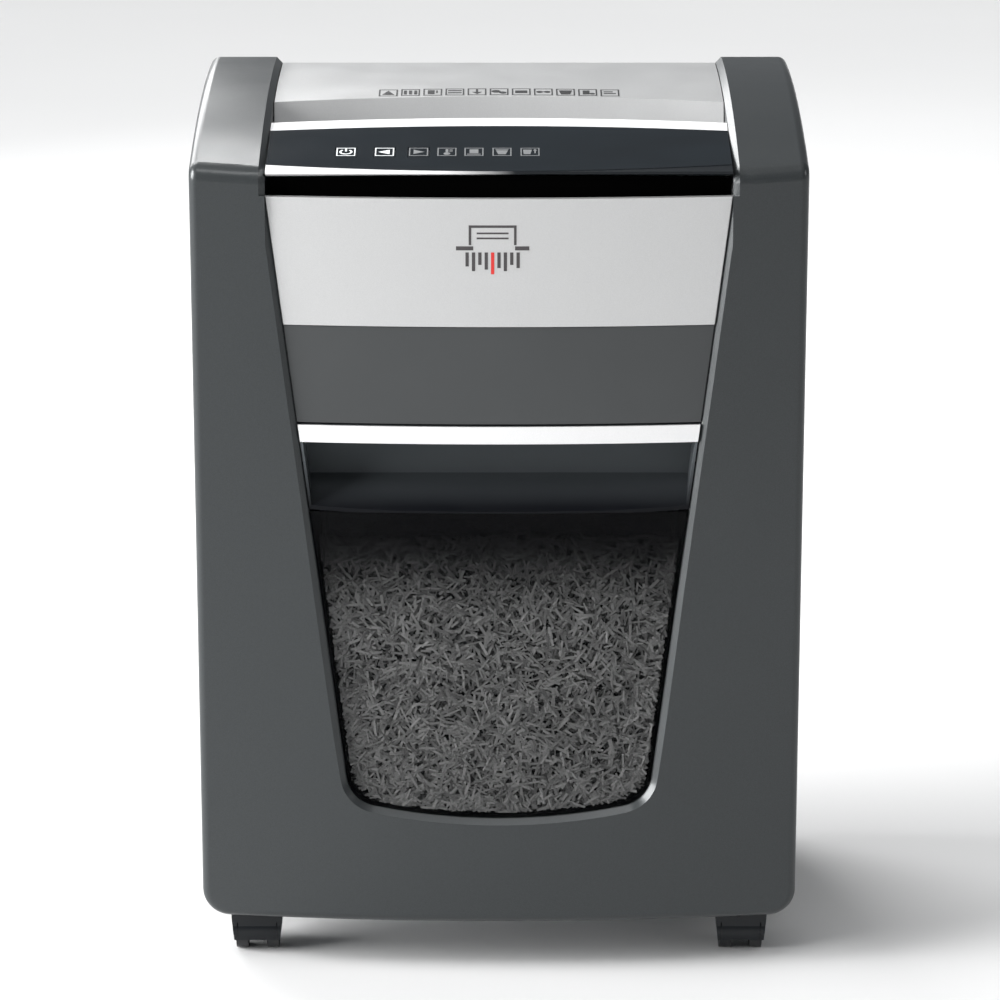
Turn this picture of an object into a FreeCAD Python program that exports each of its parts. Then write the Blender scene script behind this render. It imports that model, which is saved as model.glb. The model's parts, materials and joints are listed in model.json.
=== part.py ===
"""A cabinet paper shredder on castors, with a pull-out bin, as an assembly of separate pieces.

Row frame, in millimetres: +Z up, +Y towards the back, +X to the right as seen from the front.
The origin is on the floor, under the middle of the cabinet.
Every size comes from the spreadsheet "Sizes", and each piece is written to parts/LABEL.step.
"""

import FreeCAD
import Part
import math
import os

import Sketcher
from FreeCAD import Placement, Rotation, Vector

doc = FreeCAD.newDocument("PaperShredder")
sheet = doc.addObject("Spreadsheet::Sheet", "Sizes")


# ------------------------------------------------------------------ sizes that remember their expression


class Size:
    """A number together with the spreadsheet expression that gives it."""

    def __init__(self, value, text):
        self.value = float(value)
        self.text = text

    def _join(self, other, sign, value, swap=False):
        other = lift(other)
        first, second = (other, self) if swap else (self, other)
        return Size(value(first.value, second.value), f"({first.text} {sign} {second.text})")

    def __add__(self, other):
        return self._join(other, "+", lambda a, b: a + b)

    def __radd__(self, other):
        return self._join(other, "+", lambda a, b: a + b, swap=True)

    def __sub__(self, other):
        return self._join(other, "-", lambda a, b: a - b)

    def __rsub__(self, other):
        return self._join(other, "-", lambda a, b: a - b, swap=True)

    def __mul__(self, other):
        return self._join(other, "*", lambda a, b: a * b)

    def __rmul__(self, other):
        return self._join(other, "*", lambda a, b: a * b, swap=True)

    def __truediv__(self, other):
        return self._join(other, "/", lambda a, b: a / b)

    def __rtruediv__(self, other):
        return self._join(other, "/", lambda a, b: a / b, swap=True)

    def __neg__(self):
        return Size(-self.value, f"(0 - {self.text})")


def lift(number):
    """Any number as a Size."""
    return number if isinstance(number, Size) else Size(number, f"({float(number):.6f})")


def root(size):
    """Square root of a Size."""
    return Size(math.sqrt(size.value), f"sqrt({size.text})")


row = 0


def cell(alias, value, note):
    """Puts one driving dimension into the spreadsheet and returns it as a Size."""
    global row
    row += 1
    sheet.set(f"A{row}", note)
    sheet.set(f"B{row}", str(value))
    sheet.setAlias(f"B{row}", alias)
    return Size(value, f"Sizes.{alias}")


# cabinet
half_width = cell("half_width", 195, "half the cabinet's width")
half_depth = cell("half_depth", 134, "half the cabinet's depth, at the middle of the bowed front")
clearance_z = cell("clearance_z", 34.1, "height of the cabinet's underside above the floor")
bow = cell("bow", 1300, "plan radius of the bowed front")
side_wall = cell("side_wall", 3, "side wall thickness")
front_wall = cell("front_wall", 5, "front wall thickness")
roof_wall = cell("roof_wall", 4, "thickness of the two cheeks' tops")
bottom_round = cell("bottom_round", 17.6, "radius of the cabinet's bottom side edges")
shoulder_round = cell("shoulder_round", 11, "radius of the shoulder, from front to cheek top")
bevel = cell("bevel", 3.8, "bevel round the front opening")
crown = cell("crown", 750, "radius of the cheeks' top, seen from the side")
crown_y = cell("crown_y", 89.6, "highest point of the crown")
crown_top = cell("crown_top", 565, "height of the crown's highest point")
deck_drop = cell("deck_drop", 4, "how far the deck lies below the cheeks")
# front opening
open_top = cell("open_top", 146.9, "half the opening's width above the taper")
taper_top = cell("taper_top", 518, "height where the opening starts to taper")
taper = cell("taper", 0.1239, "how much the half width shrinks per mm down")
sill = cell("sill", 106.4, "height of the opening's bottom at the middle")
sill_bow = cell("sill_bow", 430, "radius of the opening's bottom edge")
fit_gap = cell("fit_gap", 0.6, "gap between a panel and the opening it sits in")
# front panels
silver_low = cell("silver_low", 435.3, "bottom of the silver panel")
silver_high = cell("silver_high", 517.4, "top of the silver panel")
seam_z = cell("seam_z", 371.8, "bottom of the grey panel, above the bin")
handle_low = cell("handle_low", 359, "bottom of the bin's handle strip")
handle_high = cell("handle_high", 370.2, "top of the bin's handle strip")
window_high = cell("window_high", 313, "top of the bin's window")
face_inset = cell("face_inset", 3, "how far the panels lie behind the front")
# control panel
panel_front_y = cell("panel_front_y", -125.7, "front edge of the control panel")
panel_front_z = cell("panel_front_z", 533.8, "front edge of the control panel")
panel_tilt = cell("panel_tilt", 10.43, "tilt of the control panel, in degrees")
rim_y = cell("rim_y", -34.5, "back edge of the rim at the middle")
rim_bow = cell("rim_bow", 1272, "plan radius of the rim's back edge")
lens_back_y = cell("lens_back_y", -49.3, "back edge of the black lens at the middle")
lens_front_y = cell("lens_front_y", -125.3, "front edge of the black lens at the middle")
lens_bow = cell("lens_bow", 1011, "plan radius of the lens's front edge")
deck_y = cell("deck_y", 9.3, "front edge of the deck at the middle")
deck_bow = cell("deck_bow", 924, "plan radius of the deck's front edge")
throat_foot = cell("throat_foot", 514, "height where the paper funnel ends")
# cutting block
nip_y = cell("nip_y", -19, "plane between the two cutter shafts")
cutter_z = cell("cutter_z", 458, "height of the cutter shafts")
shaft_gap = cell("shaft_gap", 42, "distance between the cutter shafts")
disc_radius = cell("disc_radius", 22.5, "cutter disc radius")
disc_thick = cell("disc_thick", 3.7, "cutter disc thickness")
disc_pitch = cell("disc_pitch", 8, "distance from disc to disc")
disc_count = cell("disc_count", 28, "discs on each shaft")
core_radius = cell("core_radius", 18, "spacer radius")
journal = cell("journal", 8, "radius of the shaft journals")
plate_x = cell("plate_x", 118, "inner face of the cutting block's side plates")
plate_thick = cell("plate_thick", 3, "side plate thickness")
tray_z = cell("tray_z", 412, "top of the tray that carries the cutting block")
# gears
sync_teeth = cell("sync_teeth", 14, "teeth of the two gears that tie the shafts")
sync_module = cell("sync_module", 3, "module of those gears")
final_teeth = cell("final_teeth", 30, "teeth of the wheel on the rear shaft")
final_pinion = cell("final_pinion", 14, "teeth of the pinion that drives it")
final_module = cell("final_module", 2.5, "module of that pair")
second_teeth = cell("second_teeth", 45, "teeth of the second wheel")
second_pinion = cell("second_pinion", 13, "teeth of the pinion that drives it")
second_module = cell("second_module", 1.75, "module of that pair")
first_teeth = cell("first_teeth", 52, "teeth of the first wheel")
first_pinion = cell("first_pinion", 13, "teeth of the motor pinion")
first_module = cell("first_module", 1.25, "module of that pair")
spindle = cell("spindle", 4.5, "radius of the gear spindles")
running = cell("running", 0.06, "radial clearance of running fits")
# motor
motor_radius = cell("motor_radius", 34, "motor can radius")
motor_shaft = cell("motor_shaft", 4, "motor shaft radius")
# bin
tub_gap = cell("tub_gap", 3.5, "gap between the bin's walls and the front opening")
tub_rim = cell("tub_rim", 364, "rim of the bin")
tub_wall = cell("tub_wall", 2.5, "bin wall thickness")
tub_back = cell("tub_back", 118, "back of the bin")
paper_top = cell("paper_top", 301, "height of the shredded paper")
runner_z = cell("runner_z", 340, "underside of the bin's runners")
# castors
castor_x = cell("castor_x", 160.6, "castor distance from the middle")
castor_front_y = cell("castor_front_y", -94, "front castors' swivel axes")
castor_back_y = cell("castor_back_y", 92, "back castors' swivel axes")
wheel_radius = cell("wheel_radius", 14.5, "castor wheel radius")
trail = cell("trail", 8, "distance from swivel axis to wheel axle")
hood_radius = cell("hood_radius", 16.2, "radius of the hood over the castor wheels")
hood_low = cell("hood_low", 9.8, "height of the hood's lower edge")
stem_radius = cell("stem_radius", 5.5, "radius of the castor stems")
stem_top = cell("stem_top", 57, "top of the castor stems")
# back wall
inlet_z = cell("inlet_z", 76, "height of the mains inlet and the switch")

doc.recompute()

front_y = -half_depth
back_y = half_depth
corner_y = front_y + half_width * half_width / (2 * bow)
inner_x = half_width - side_wall
floor_z = clearance_z + side_wall
header_z = lift(538)
wheel_room_y, wheel_room_z = -8, 546
rear_face = back_y - 6
panel_x = open_top - fit_gap
front_axis_y = nip_y - shaft_gap / 2
rear_axis_y = nip_y + shaft_gap / 2
skin_back = face_inset + 2.5
rim_back = skin_back + 10
pocket_back = front_y + 40
hood_top = clearance_z - 1.2
panel_slope = math.tan(math.radians(panel_tilt.value))
PANEL_SIN = math.sin(math.radians(panel_tilt.value))
PANEL_COS = math.cos(math.radians(panel_tilt.value))

# spans that reach past the cabinet
ACROSS = (-200, 200)
THROUGH = (-150, 150)
TALL = (0, 600)
UPPER = (480, 600)

# fixed proportions
SILL_CORNER = 22
RIM_WALL = 1.2
PAPER_GAP = 0.3
POCKET_END = 1.6
HOOD_SIDES = ((15, 8), (16, 17), (16.8, 25), (17.3, 40))
HOOD_GROOVE = 13
WHEEL_SPAN = (6.2, 14.1)
WHEEL_GAP = 0.5
AXLE_RADIUS = 2.5
key_y = lift(-94)
key_wide = 13
key_long = 16
key_x = {"power_key": -96.7, "reverse_key": -72.3, "forward_key": -50.8}
lamp_x = (-32.9, -15.8, 1.9, 19.6)
inlet_x, switch_x = -120, -80
lever_x, lever_y, lever_z = 60, 122.5, 310
rocker_y = rear_face + 1
bush_radius = 11
front_discs_x = -plate_x + 8
rear_discs_x = front_discs_x + disc_pitch / 2
FINAL_X = (-136.5, -126.5)
SECOND_X = (-147, -138.5)
FIRST_X = (-157, -149.5)
SYNC_X = (123, 134)


# ------------------------------------------------------------------ helpers

UP = Rotation()
ALONG = {
    "X": Rotation(Vector(0, 0, 1), Vector(1, 0, 0)),
    "Y": Rotation(Vector(0, 0, 1), Vector(0, 1, 0)),
    "Z": UP,
}
pieces = []


def about(middle, half):
    """A span of half on either side of middle."""
    return middle - half, middle + half


def bind(obj, **sizes):
    """Binds an object's properties to expressions."""
    for name, size in sizes.items():
        obj.setExpression(name, lift(size).text)
    return obj


def put(obj, x, y, z, rotation=UP):
    """Places an object, with its position bound to expressions."""
    obj.Placement = Placement(Vector(0, 0, 0), rotation)
    for name, size in (("x", x), ("y", y), ("z", z)):
        obj.setExpression(f"Placement.Base.{name}", lift(size).text)
    return obj


def box(x, y, z, label="box"):
    """A block from the lowest to the highest x, y and z."""
    block = doc.addObject("Part::Box", label)
    bind(block, Length=lift(x[1]) - x[0], Width=lift(y[1]) - y[0], Height=lift(z[1]) - z[0])
    return put(block, x[0], y[0], z[0])


def rod(axis, radius, span, centre, label="rod"):
    """A cylinder along an axis, over span, at centre in the other two coordinates, in X, Y, Z order."""
    cylinder = doc.addObject("Part::Cylinder", label)
    bind(cylinder, Radius=radius, Height=lift(span[1]) - span[0])
    places = {
        "X": (span[0], centre[0], centre[1]),
        "Y": (centre[0], span[0], centre[1]),
        "Z": (centre[0], centre[1], span[0]),
    }
    return put(cylinder, *places[axis], ALONG[axis])


def tube(axis, outer, inner, span, centre, label="tube"):
    """A ring or pipe."""
    longer = (lift(span[0]) - 1, lift(span[1]) + 1)
    return cut(rod(axis, outer, span, centre), rod(axis, inner, longer, centre), label=label)


def cone(low_radius, high_radius, z, centre):
    """An upright cone frustum."""
    frustum = doc.addObject("Part::Cone", "cone")
    bind(frustum, Radius1=low_radius, Radius2=high_radius, Height=lift(z[1]) - z[0])
    return put(frustum, centre[0], centre[1], z[0])


def tilted_box(centre, size, degrees, label="tilted"):
    """A block about centre, turned about X: size is its x, its length along the slope, and its thickness."""
    block = doc.addObject("Part::Box", label)
    bind(block, Length=size[0], Width=size[1], Height=size[2])
    angle = math.radians(degrees)
    along, across = (math.cos(angle), math.sin(angle)), (-math.sin(angle), math.cos(angle))
    y = lift(centre[1]) - lift(size[1]) / 2 * along[0] - lift(size[2]) / 2 * across[0]
    z = lift(centre[2]) - lift(size[1]) / 2 * along[1] - lift(size[2]) / 2 * across[1]
    return put(block, lift(centre[0]) - lift(size[0]) / 2, y, z, Rotation(Vector(1, 0, 0), degrees))


def cut(base, *tools, label="cut"):
    """base without tools."""
    result = doc.addObject("Part::Cut", label)
    result.Base = base
    result.Tool = tools[0] if len(tools) == 1 else fuse(*tools)
    return result


def fuse(*parts, label="fuse"):
    """All parts as one."""
    result = doc.addObject("Part::MultiFuse", label)
    result.Shapes = list(parts)
    return result


def common(*parts, label="common"):
    """What all parts share."""
    result = doc.addObject("Part::MultiCommon", label)
    result.Shapes = list(parts)
    return result


def group(*parts, label="group"):
    """Separate solids that share one node."""
    result = doc.addObject("Part::Compound", label)
    result.Links = list(parts)
    return result


def shaped(shape, label):
    """A piece whose shape is made directly from sheet sizes."""
    feature = doc.addObject("Part::Feature", label)
    feature.Shape = shape
    return feature


def rounded(base, radius, test, label="rounded", kind="Part::Fillet"):
    """base with the edges that pass test rounded, or chamfered; test gets an edge."""
    doc.recompute()
    found = [i + 1 for i, edge in enumerate(base.Shape.Edges) if test(edge)]
    if not found:
        raise RuntimeError(f"{label}: no edge found to round")
    result = doc.addObject(kind, label)
    result.Base = base
    size = lift(radius).value
    result.Edges = [(i, size, size) for i in found]
    return result


def piece(obj, label):
    """Registers a finished sub-part under its name."""
    obj.Label = label
    pieces.append(obj)
    return obj


def mirrored(obj, label="mirrored"):
    """obj mirrored across the cabinet's middle plane."""
    result = doc.addObject("Part::Mirroring", label)
    result.Source = obj
    result.Normal = Vector(1, 0, 0)
    result.Base = Vector(0, 0, 0)
    return result


PLANES = {"XY": "XY_Plane", "XZ": "XZ_Plane", "YZ": "YZ_Plane"}


def prism(plane, outline, span, label="prism"):
    """A PartDesign body: a sketched outline padded over span, along the plane's third axis.

    Each outline entry is (u, v), or (u, v, radius, side) where the edge to the next corner is an arc
    whose centre lies on the left (side 1) or on the right (side -1) of the way to that corner.
    """
    body = doc.addObject("PartDesign::Body", label)
    sketch = body.newObject("Sketcher::SketchObject", label + "_sketch")
    support = [f for f in body.Origin.OriginFeatures if f.Role == PLANES[plane]][0]
    sketch.AttachmentSupport = [(support, "")]
    sketch.MapMode = "FlatFace"
    low, high = lift(span[0]), lift(span[1])
    start = -high if plane == "XZ" else low
    sketch.setExpression("AttachmentOffset.Base.z", start.text)
    corners = [(lift(entry[0]), lift(entry[1])) for entry in outline]
    ends = []
    for i, entry in enumerate(outline):
        a = Vector(corners[i][0].value, corners[i][1].value, 0)
        after = corners[(i + 1) % len(corners)]
        b = Vector(after[0].value, after[1].value, 0)
        if len(entry) == 2:
            edge = sketch.addGeometry(Part.LineSegment(a, b), False)
            ends.append((edge, 1, 2))
            continue
        radius, side = lift(entry[2]), entry[3]
        half = (b - a) / 2
        rise = math.sqrt(radius.value**2 - half.Length**2)
        normal = Vector(-half.y, half.x, 0).normalize() * side
        centre = a + half + normal * rise
        begin, end = (a, b) if side > 0 else (b, a)
        angles = [math.atan2(p.y - centre.y, p.x - centre.x) for p in (begin, end)]
        if angles[1] < angles[0]:
            angles[1] += 2 * math.pi
        circle = Part.Circle(centre, Vector(0, 0, 1), radius.value)
        edge = sketch.addGeometry(Part.ArcOfCircle(circle, *angles), False)
        number = sketch.addConstraint(Sketcher.Constraint("Radius", edge, radius.value))
        sketch.setExpression(f"Constraints[{number}]", radius.text)
        ends.append((edge, 1, 2) if side > 0 else (edge, 2, 1))
    for i, (edge, first, _) in enumerate(ends):
        before, _, last = ends[i - 1]
        sketch.addConstraint(Sketcher.Constraint("Coincident", before, last, edge, first))
        for kind, size in zip(("DistanceX", "DistanceY"), corners[i]):
            number = sketch.addConstraint(Sketcher.Constraint(kind, -1, 1, edge, first, size.value))
            sketch.setExpression(f"Constraints[{number}]", size.text)
    pad = body.newObject("PartDesign::Pad", label + "_pad")
    pad.Profile = sketch
    bind(pad, Length=high - low)
    body.Tip = pad
    return body


def crown_z(y, drop=0):
    """Height of the crown's arc at y, lowered by drop, as an offset curve."""
    radius = crown - drop
    return crown_top - crown + root(radius * radius - (lift(y) - crown_y) * (lift(y) - crown_y))


def under_crown(x, y, z_low, drop, label="crown_block"):
    """A block over x and y from z_low up to the crown lowered by drop."""
    outline = [
        (y[0], z_low),
        (y[1], z_low),
        (y[1], crown_z(y[1], drop), crown - drop, 1),
        (y[0], crown_z(y[0], drop)),
    ]
    return prism("YZ", outline, x, label)


def bowed(x, inset, y_back, z, label="bowed"):
    """A block whose front is the cabinet's bow, moved back by inset."""
    edge = front_y + bow - root((bow - inset) * (bow - inset) - lift(x) * lift(x))
    outline = [(-lift(x), edge, bow - inset, 1), (x, edge), (x, y_back), (-lift(x), y_back)]
    return prism("XY", outline, z, label)


def bowed_slab(x, inset, thick, z, label="slab"):
    """A plate of even thickness that follows the bow."""
    front = front_y + bow - root((bow - inset) * (bow - inset) - lift(x) * lift(x))
    back = bow - inset - thick
    rear = front_y + bow - root(back * back - lift(x) * lift(x))
    outline = [(-lift(x), front, bow - inset, 1), (x, front), (x, rear, back, -1), (-lift(x), rear)]
    return prism("XY", outline, z, label)


def taper_x(z, gap=0):
    """Half the opening's width at height z, less gap."""
    return open_top - gap - taper * (taper_top - z)


def opening(z_low, z_high, gap, y=THROUGH, label="opening"):
    """The front opening's outline, less gap, between two heights, as a block through the cabinet."""
    low, high = lift(z_low), lift(z_high)
    right = [(taper_x(low, gap), low), (taper_x(high, gap), high)]
    if high.value > taper_top.value:
        right = [(taper_x(low, gap), low), (open_top - gap, taper_top), (open_top - gap, high)]
    left = [(-x, z) for x, z in reversed(right)]
    return prism("XZ", right + left, y, label)


def upright(x, z):
    """Test for edges along Y near a given |x| and z."""

    def test(edge):
        points = [v.Point for v in edge.Vertexes]
        if len(points) < 2 or abs(points[0].y - points[-1].y) < 1:
            return False
        return all(abs(abs(p.x) - lift(x).value) < 0.5 and abs(p.z - lift(z).value) < 0.5 for p in points)

    return test


def bin_opening(z_high, gap, y=THROUGH, label="bin_opening"):
    """The lower opening with its bowed sill and rounded bottom corners, less gap."""
    low = sill + gap
    lift_z = low
    for _ in range(3):
        flank = taper_x(lift_z, gap)
        lift_z = low + sill_bow - root(sill_bow * sill_bow - flank * flank)
    high = lift(z_high)
    top = [(taper_x(high, gap), high)]
    if high.value > taper_top.value:
        top = [(open_top - gap, taper_top), (open_top - gap, high)]
    outline = [(-flank, lift_z, sill_bow, 1), (flank, lift_z), *top, *[(-x, z) for x, z in reversed(top)]]
    block = prism("XZ", outline, y, label)
    return rounded(block, SILL_CORNER, upright(flank, lift_z), label + "_round")


# ------------------------------------------------------------------ cabinet


def near(value, target, slack=0.6):
    return abs(value - lift(target).value) < slack


def outer_casing():
    """One moulding: both sides, the two cheeks over the top, and the sill under the bin."""
    outside = common(
        under_crown(about(0, half_width), (front_y - 5, back_y), clearance_z, 0),
        bowed(half_width, 0, back_y, (clearance_z, 600)),
    )

    def side_top(edge):
        box_ = edge.BoundBox
        return box_.XLength < 0.5 and box_.YLength > 20 and box_.ZMin > 500

    def side_front(edge):
        box_ = edge.BoundBox
        return box_.ZLength > 400 and near(box_.YMin, corner_y, 2)

    def shoulder(edge):
        box_ = edge.BoundBox
        return box_.XLength > 300 and box_.ZMin > 500 and box_.YMax < corner_y.value + 5

    def back_top(edge):
        box_ = edge.BoundBox
        return box_.XLength > 300 and box_.ZMin > 500 and near(box_.YMin, back_y)

    step = rounded(outside, bottom_round, flat_edge_at(clearance_z), "casing_bottom")
    step = rounded(step, shoulder_round, shoulder, "casing_shoulder")
    step = rounded(step, 20, back_top, "casing_back")
    step = rounded(step, 6, lambda e: side_top(e) or side_front(e), "casing_sides")
    hollow = common(
        under_crown((-inner_x, inner_x), (front_y, back_y + 20), clearance_z + side_wall, roof_wall),
        bowed(inner_x, front_wall, back_y + 20, (clearance_z + side_wall, 600)),
    )
    hollow = rounded(hollow, bottom_round - side_wall, flat_edge_at(clearance_z + side_wall), "hollow")
    header = box(ACROSS, (back_y - 22, back_y + 25), (header_z, 600))
    wall_x = (open_top - 1, open_top + bevel + 1)
    inner_wall = fuse(
        box(wall_x, (-115, wheel_room_y), (500, 600)),
        box(wall_x, (wheel_room_y - 1, rear_face), (wheel_room_z, 600)),
    )
    shell = cut(step, cut(hollow, header, inner_wall, mirrored(inner_wall)))
    floor_hole = box((-130, 130), (-75, back_y + 20), (clearance_z - 5, clearance_z + 10))
    cup_holes = [rod("Z", 9.5, (clearance_z - 5, clearance_z + 10), place) for place in castor_places()]
    top_hole = box((-open_top, open_top), (-90, back_y + 20), (450, 600))
    shell = cut(shell, floor_hole, top_hole, bin_opening(600, 0, (front_y - 20, -60)), *cup_holes)

    def flank_or_sill(edge):
        """On the bowed front, round the opening, below the straight upper part."""
        reach = edge.LastParameter - edge.FirstParameter
        for share in (0.0, 0.5, 1.0):
            p = edge.valueAt(edge.FirstParameter + share * reach)
            if abs(p.x) > open_top.value + 0.2 or p.y > bow_front(p.x) + 0.1 or p.z > taper_top.value + 0.1:
                return False
        return True

    shell = rounded(shell, bevel, flank_or_sill, "casing_bevel", "Part::Chamfer")
    right = cheek_bevel(step)
    return piece(cut(cut(shell, right), mirrored(right)), "outer_casing")


def cheek_bevel(outside):
    """What the bevel removes from the right cheek: a slope that runs from under the skin out through it."""
    doc.recompute()
    over = 0.5
    skin = outside.Shape.slice(Vector(1, 0, 0), (open_top + bevel).value)[0]
    sunk = skin.makeOffset2D(-bevel.value - over)
    sunk.translate(Vector(-bevel.value - over, 0, 0))
    proud = skin.makeOffset2D(over)
    proud.translate(Vector(over, 0, 0))
    core = shaped(Part.makeLoft([sunk, proud], True, True), "cheek_core")
    block = box((open_top - over / 2, open_top + bevel + over), (front_y - 5, back_y + 5), (taper_top, 600))
    return cut(block, core)


def flat_edge_at(z):
    """Test for the long lower side edges at height z."""

    def test(edge):
        box_ = edge.BoundBox
        return box_.ZLength < 0.1 and near(box_.ZMin, z) and box_.YLength > 50 and box_.XLength < 1

    return test


def bow_front(x):
    """The bowed front's y at x, as a plain number."""
    return front_y.value + bow.value - math.sqrt(bow.value**2 - x**2)



def rear_panel():
    """Back wall with two banks of vents, and openings for the inlet and the switch."""
    plate = box((-inner_x + 0.3, inner_x - 0.3), (rear_face, rear_face + 3), (floor_z, header_z - 0.3))
    plate = rounded(plate, bottom_round - side_wall, upright(inner_x - 0.3, floor_z), "rear_plate")
    through = (rear_face - 5, rear_face + 8)
    vents = [
        box((side * 95 - 38, side * 95 + 38), through, (z, z + 3.2))
        for side in (-1, 1)
        for z in range(440, 520, 9)
    ]
    inlet = box(about(inlet_x, 14), through, about(inlet_z, 10.5))
    switch = box(about(switch_x, 10), through, about(inlet_z, 7))
    return piece(cut(plate, *vents, inlet, switch), "rear_panel")


def base_plate():
    """Steel floor with four castor holes."""
    plate = box((-177, 177), (-112, rear_face), (floor_z, floor_z + 2))
    holes = [rod("Z", 9, about(floor_z, 5), (x, y)) for x, y in castor_places()]
    return piece(cut(plate, *holes), "base_plate")


def castor_places():
    return [(side * castor_x, y) for side in (-1, 1) for y in (castor_front_y, castor_back_y)]


def castor_sockets():
    """Four plastic cups in the floor that take the castor stems."""
    cups = []
    for place in castor_places():
        cup = fuse(
            rod("Z", 9, (floor_z - 2, stem_top + 3), place),
            rod("Z", 13, (floor_z + 2, floor_z + 4), place),
        )
        cups.append(cut(cup, rod("Z", stem_radius + running, (floor_z - 5, stem_top + 0.3), place)))
    return piece(group(*cups), "castor_sockets")


def top_cover():
    """The deck behind the paper slot, with a steep ramp down into the slot and a rounded back."""
    drop = deck_drop
    outside = under_crown((-panel_x, panel_x), (-60, back_y), header_z - 25, drop, "deck_outside")
    inside_x = (-panel_x + 2.5, panel_x - 2.5)
    inside = under_crown(inside_x, (-70, back_y - 3), header_z - 40, drop + 3, "deck_inside")

    def back_top(edge):
        box_ = edge.BoundBox
        return box_.XLength > 200 and near(box_.YMin, back_y) and box_.ZMin > header_z.value

    def back_top_inside(edge):
        box_ = edge.BoundBox
        return box_.XLength > 200 and near(box_.YMin, back_y - 3) and box_.ZMin > header_z.value

    shell = cut(rounded(outside, 20, back_top), rounded(inside, 17, back_top_inside))
    below = box(ACROSS, (back_y - 22, back_y + 5), (400, header_z + 0.3))
    centre = (0, deck_y - deck_bow)
    top = deck_edge_z + 4
    slope = 17
    run = (top - throat_foot) / (deck_edge_z - throat_foot)
    inner = cone(deck_bow - slope, deck_bow - slope + slope * run, (throat_foot, top), centre)
    outer = cone(deck_bow - slope + 2.5, deck_bow - slope + slope * run + 2.5, (throat_foot, top), centre)
    skirts = box(ACROSS, (-80, back_y - 21), (400, wheel_room_z))
    ramp_limits = box(about(0, panel_x), (-60, 30), (throat_foot, top))
    ramp = common(cut(outer, inner), outside, ramp_limits)
    front_cut = common(inner, box(ACROSS, (-100, 40), (throat_foot - 1, 600)))
    rest = cut(shell, front_cut, below, skirts)
    return piece(fuse(rest, ramp), "top_cover")


def panel_height(y):
    """Height of the control panel's face at y."""
    return panel_front_z + (lift(y) - panel_front_y) * panel_slope


def panel_point(y, depth):
    """The point at a depth below the panel's face, straight under the face's point at y."""
    return lift(y) + depth * PANEL_SIN, panel_height(y) - depth * PANEL_COS


def panel_band(x, y, top, bottom, label="band"):
    """A slice parallel to the control panel, between two depths below its face."""
    steep = 1 / PANEL_COS
    corners = [
        (y[0], panel_height(y[0]) - bottom * steep),
        (y[1], panel_height(y[1]) - bottom * steep),
        (y[1], panel_height(y[1]) - top * steep),
        (y[0], panel_height(y[0]) - top * steep),
    ]
    return prism("YZ", corners, (-lift(x), x), label)


def lens_outline(gap):
    """An upright block with the plan outline of the black lens."""
    front = lens_bow - gap
    edge = lens_front_y + lens_bow
    back = rod("Z", rim_bow - gap, UPPER, (0, lens_back_y - rim_bow))
    limits = box((-panel_x, panel_x), (-200, 0), UPPER)
    return common(rod("Z", front, UPPER, (0, edge)), back, limits)


def control_bezel():
    """Silver rim round the lens: a sloping plate with a thin front edge and a down-turned back edge."""
    plate = panel_band(panel_x, (panel_front_y, rim_y + 2), 0, 7, "bezel_plate")
    rim = rod("Z", rim_bow, UPPER, (0, rim_y - rim_bow))
    under = prism(
        "YZ",
        [
            (panel_front_y - 1, panel_front_z - 20),
            (panel_front_y + 14, panel_front_z - 20),
            (panel_front_y + 14, panel_front_z - 6),
            (panel_front_y - 1, panel_front_z - 1.4),
        ],
        (-panel_x, panel_x),
        "bezel_under",
    )
    recess = common(panel_band(panel_x + 2, (-140, -30), -2, 2, "lens_recess"), lens_outline(0))
    keys = [key_block(x, 0.4, -3, 12) for x in key_x.values()]
    return piece(cut(common(plate, rim), under, recess, *keys), "control_bezel")


def touch_panel():
    """Gloss black lens over the display, with openings for three keys."""
    plate = panel_band(panel_x, (-140, -30), -0.4, 2, "lens_plate")
    keys = [key_block(x, 0.4, -3, 12) for x in key_x.values()]
    return piece(cut(common(plate, lens_outline(0)), *keys), "touch_panel")


def key_block(x, gap, top, bottom):
    """A block through the panel at a key's place, wider than the key by gap all round."""
    y, z = panel_point(key_y, (lift(top) + bottom) / 2)
    size = (key_wide + 2 * gap, key_long + 2 * gap, lift(bottom) - top)
    return tilted_box((x, y, z), size, panel_tilt.value)


def push_key(name):
    """A key that travels straight into the panel, held from below by its flange."""
    x = key_x[name]
    return piece(fuse(key_block(x, 0, -0.4, 9), key_block(x, 1.5, 7.2, 9)), name)


def display_board():
    """Circuit board under the panel, with a switch under each key and a row of lamps."""
    board = tilted_box((-40, *panel_point(-84, 13.2)), (190, 50, 1.6), panel_tilt.value)
    tilt = panel_tilt.value
    switches = [tilted_box((x, *panel_point(key_y, 11.2)), (6, 6, 2.4), tilt) for x in key_x.values()]
    lamps = [tilted_box((x, *panel_point(key_y, 11.6)), (3, 3, 1.6), tilt) for x in lamp_x]
    posts = [
        tilted_box((x, *panel_point(y, 9.7)), (5, 5, 5.4), panel_tilt.value)
        for x in (-130, 50)
        for y in (-104, -64)
    ]
    return piece(fuse(board, *switches, *lamps, *posts), "display_board")


def recess_band():
    """Gloss black band set back between the control panel and the silver panel."""
    band = bowed_slab(panel_x, 11, 3, (silver_high - 3, panel_front_z), "recess_band_body")
    rim_underside = prism(
        "YZ",
        [
            (panel_front_y - 5, panel_front_z - 1),
            (panel_front_y + 15, panel_front_z - 6.9),
            (panel_front_y + 15, panel_front_z + 20),
            (panel_front_y - 5, panel_front_z + 20),
        ],
        about(0, half_width),
        "rim_underside",
    )
    return piece(cut(band, rim_underside), "recess_band")


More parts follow.
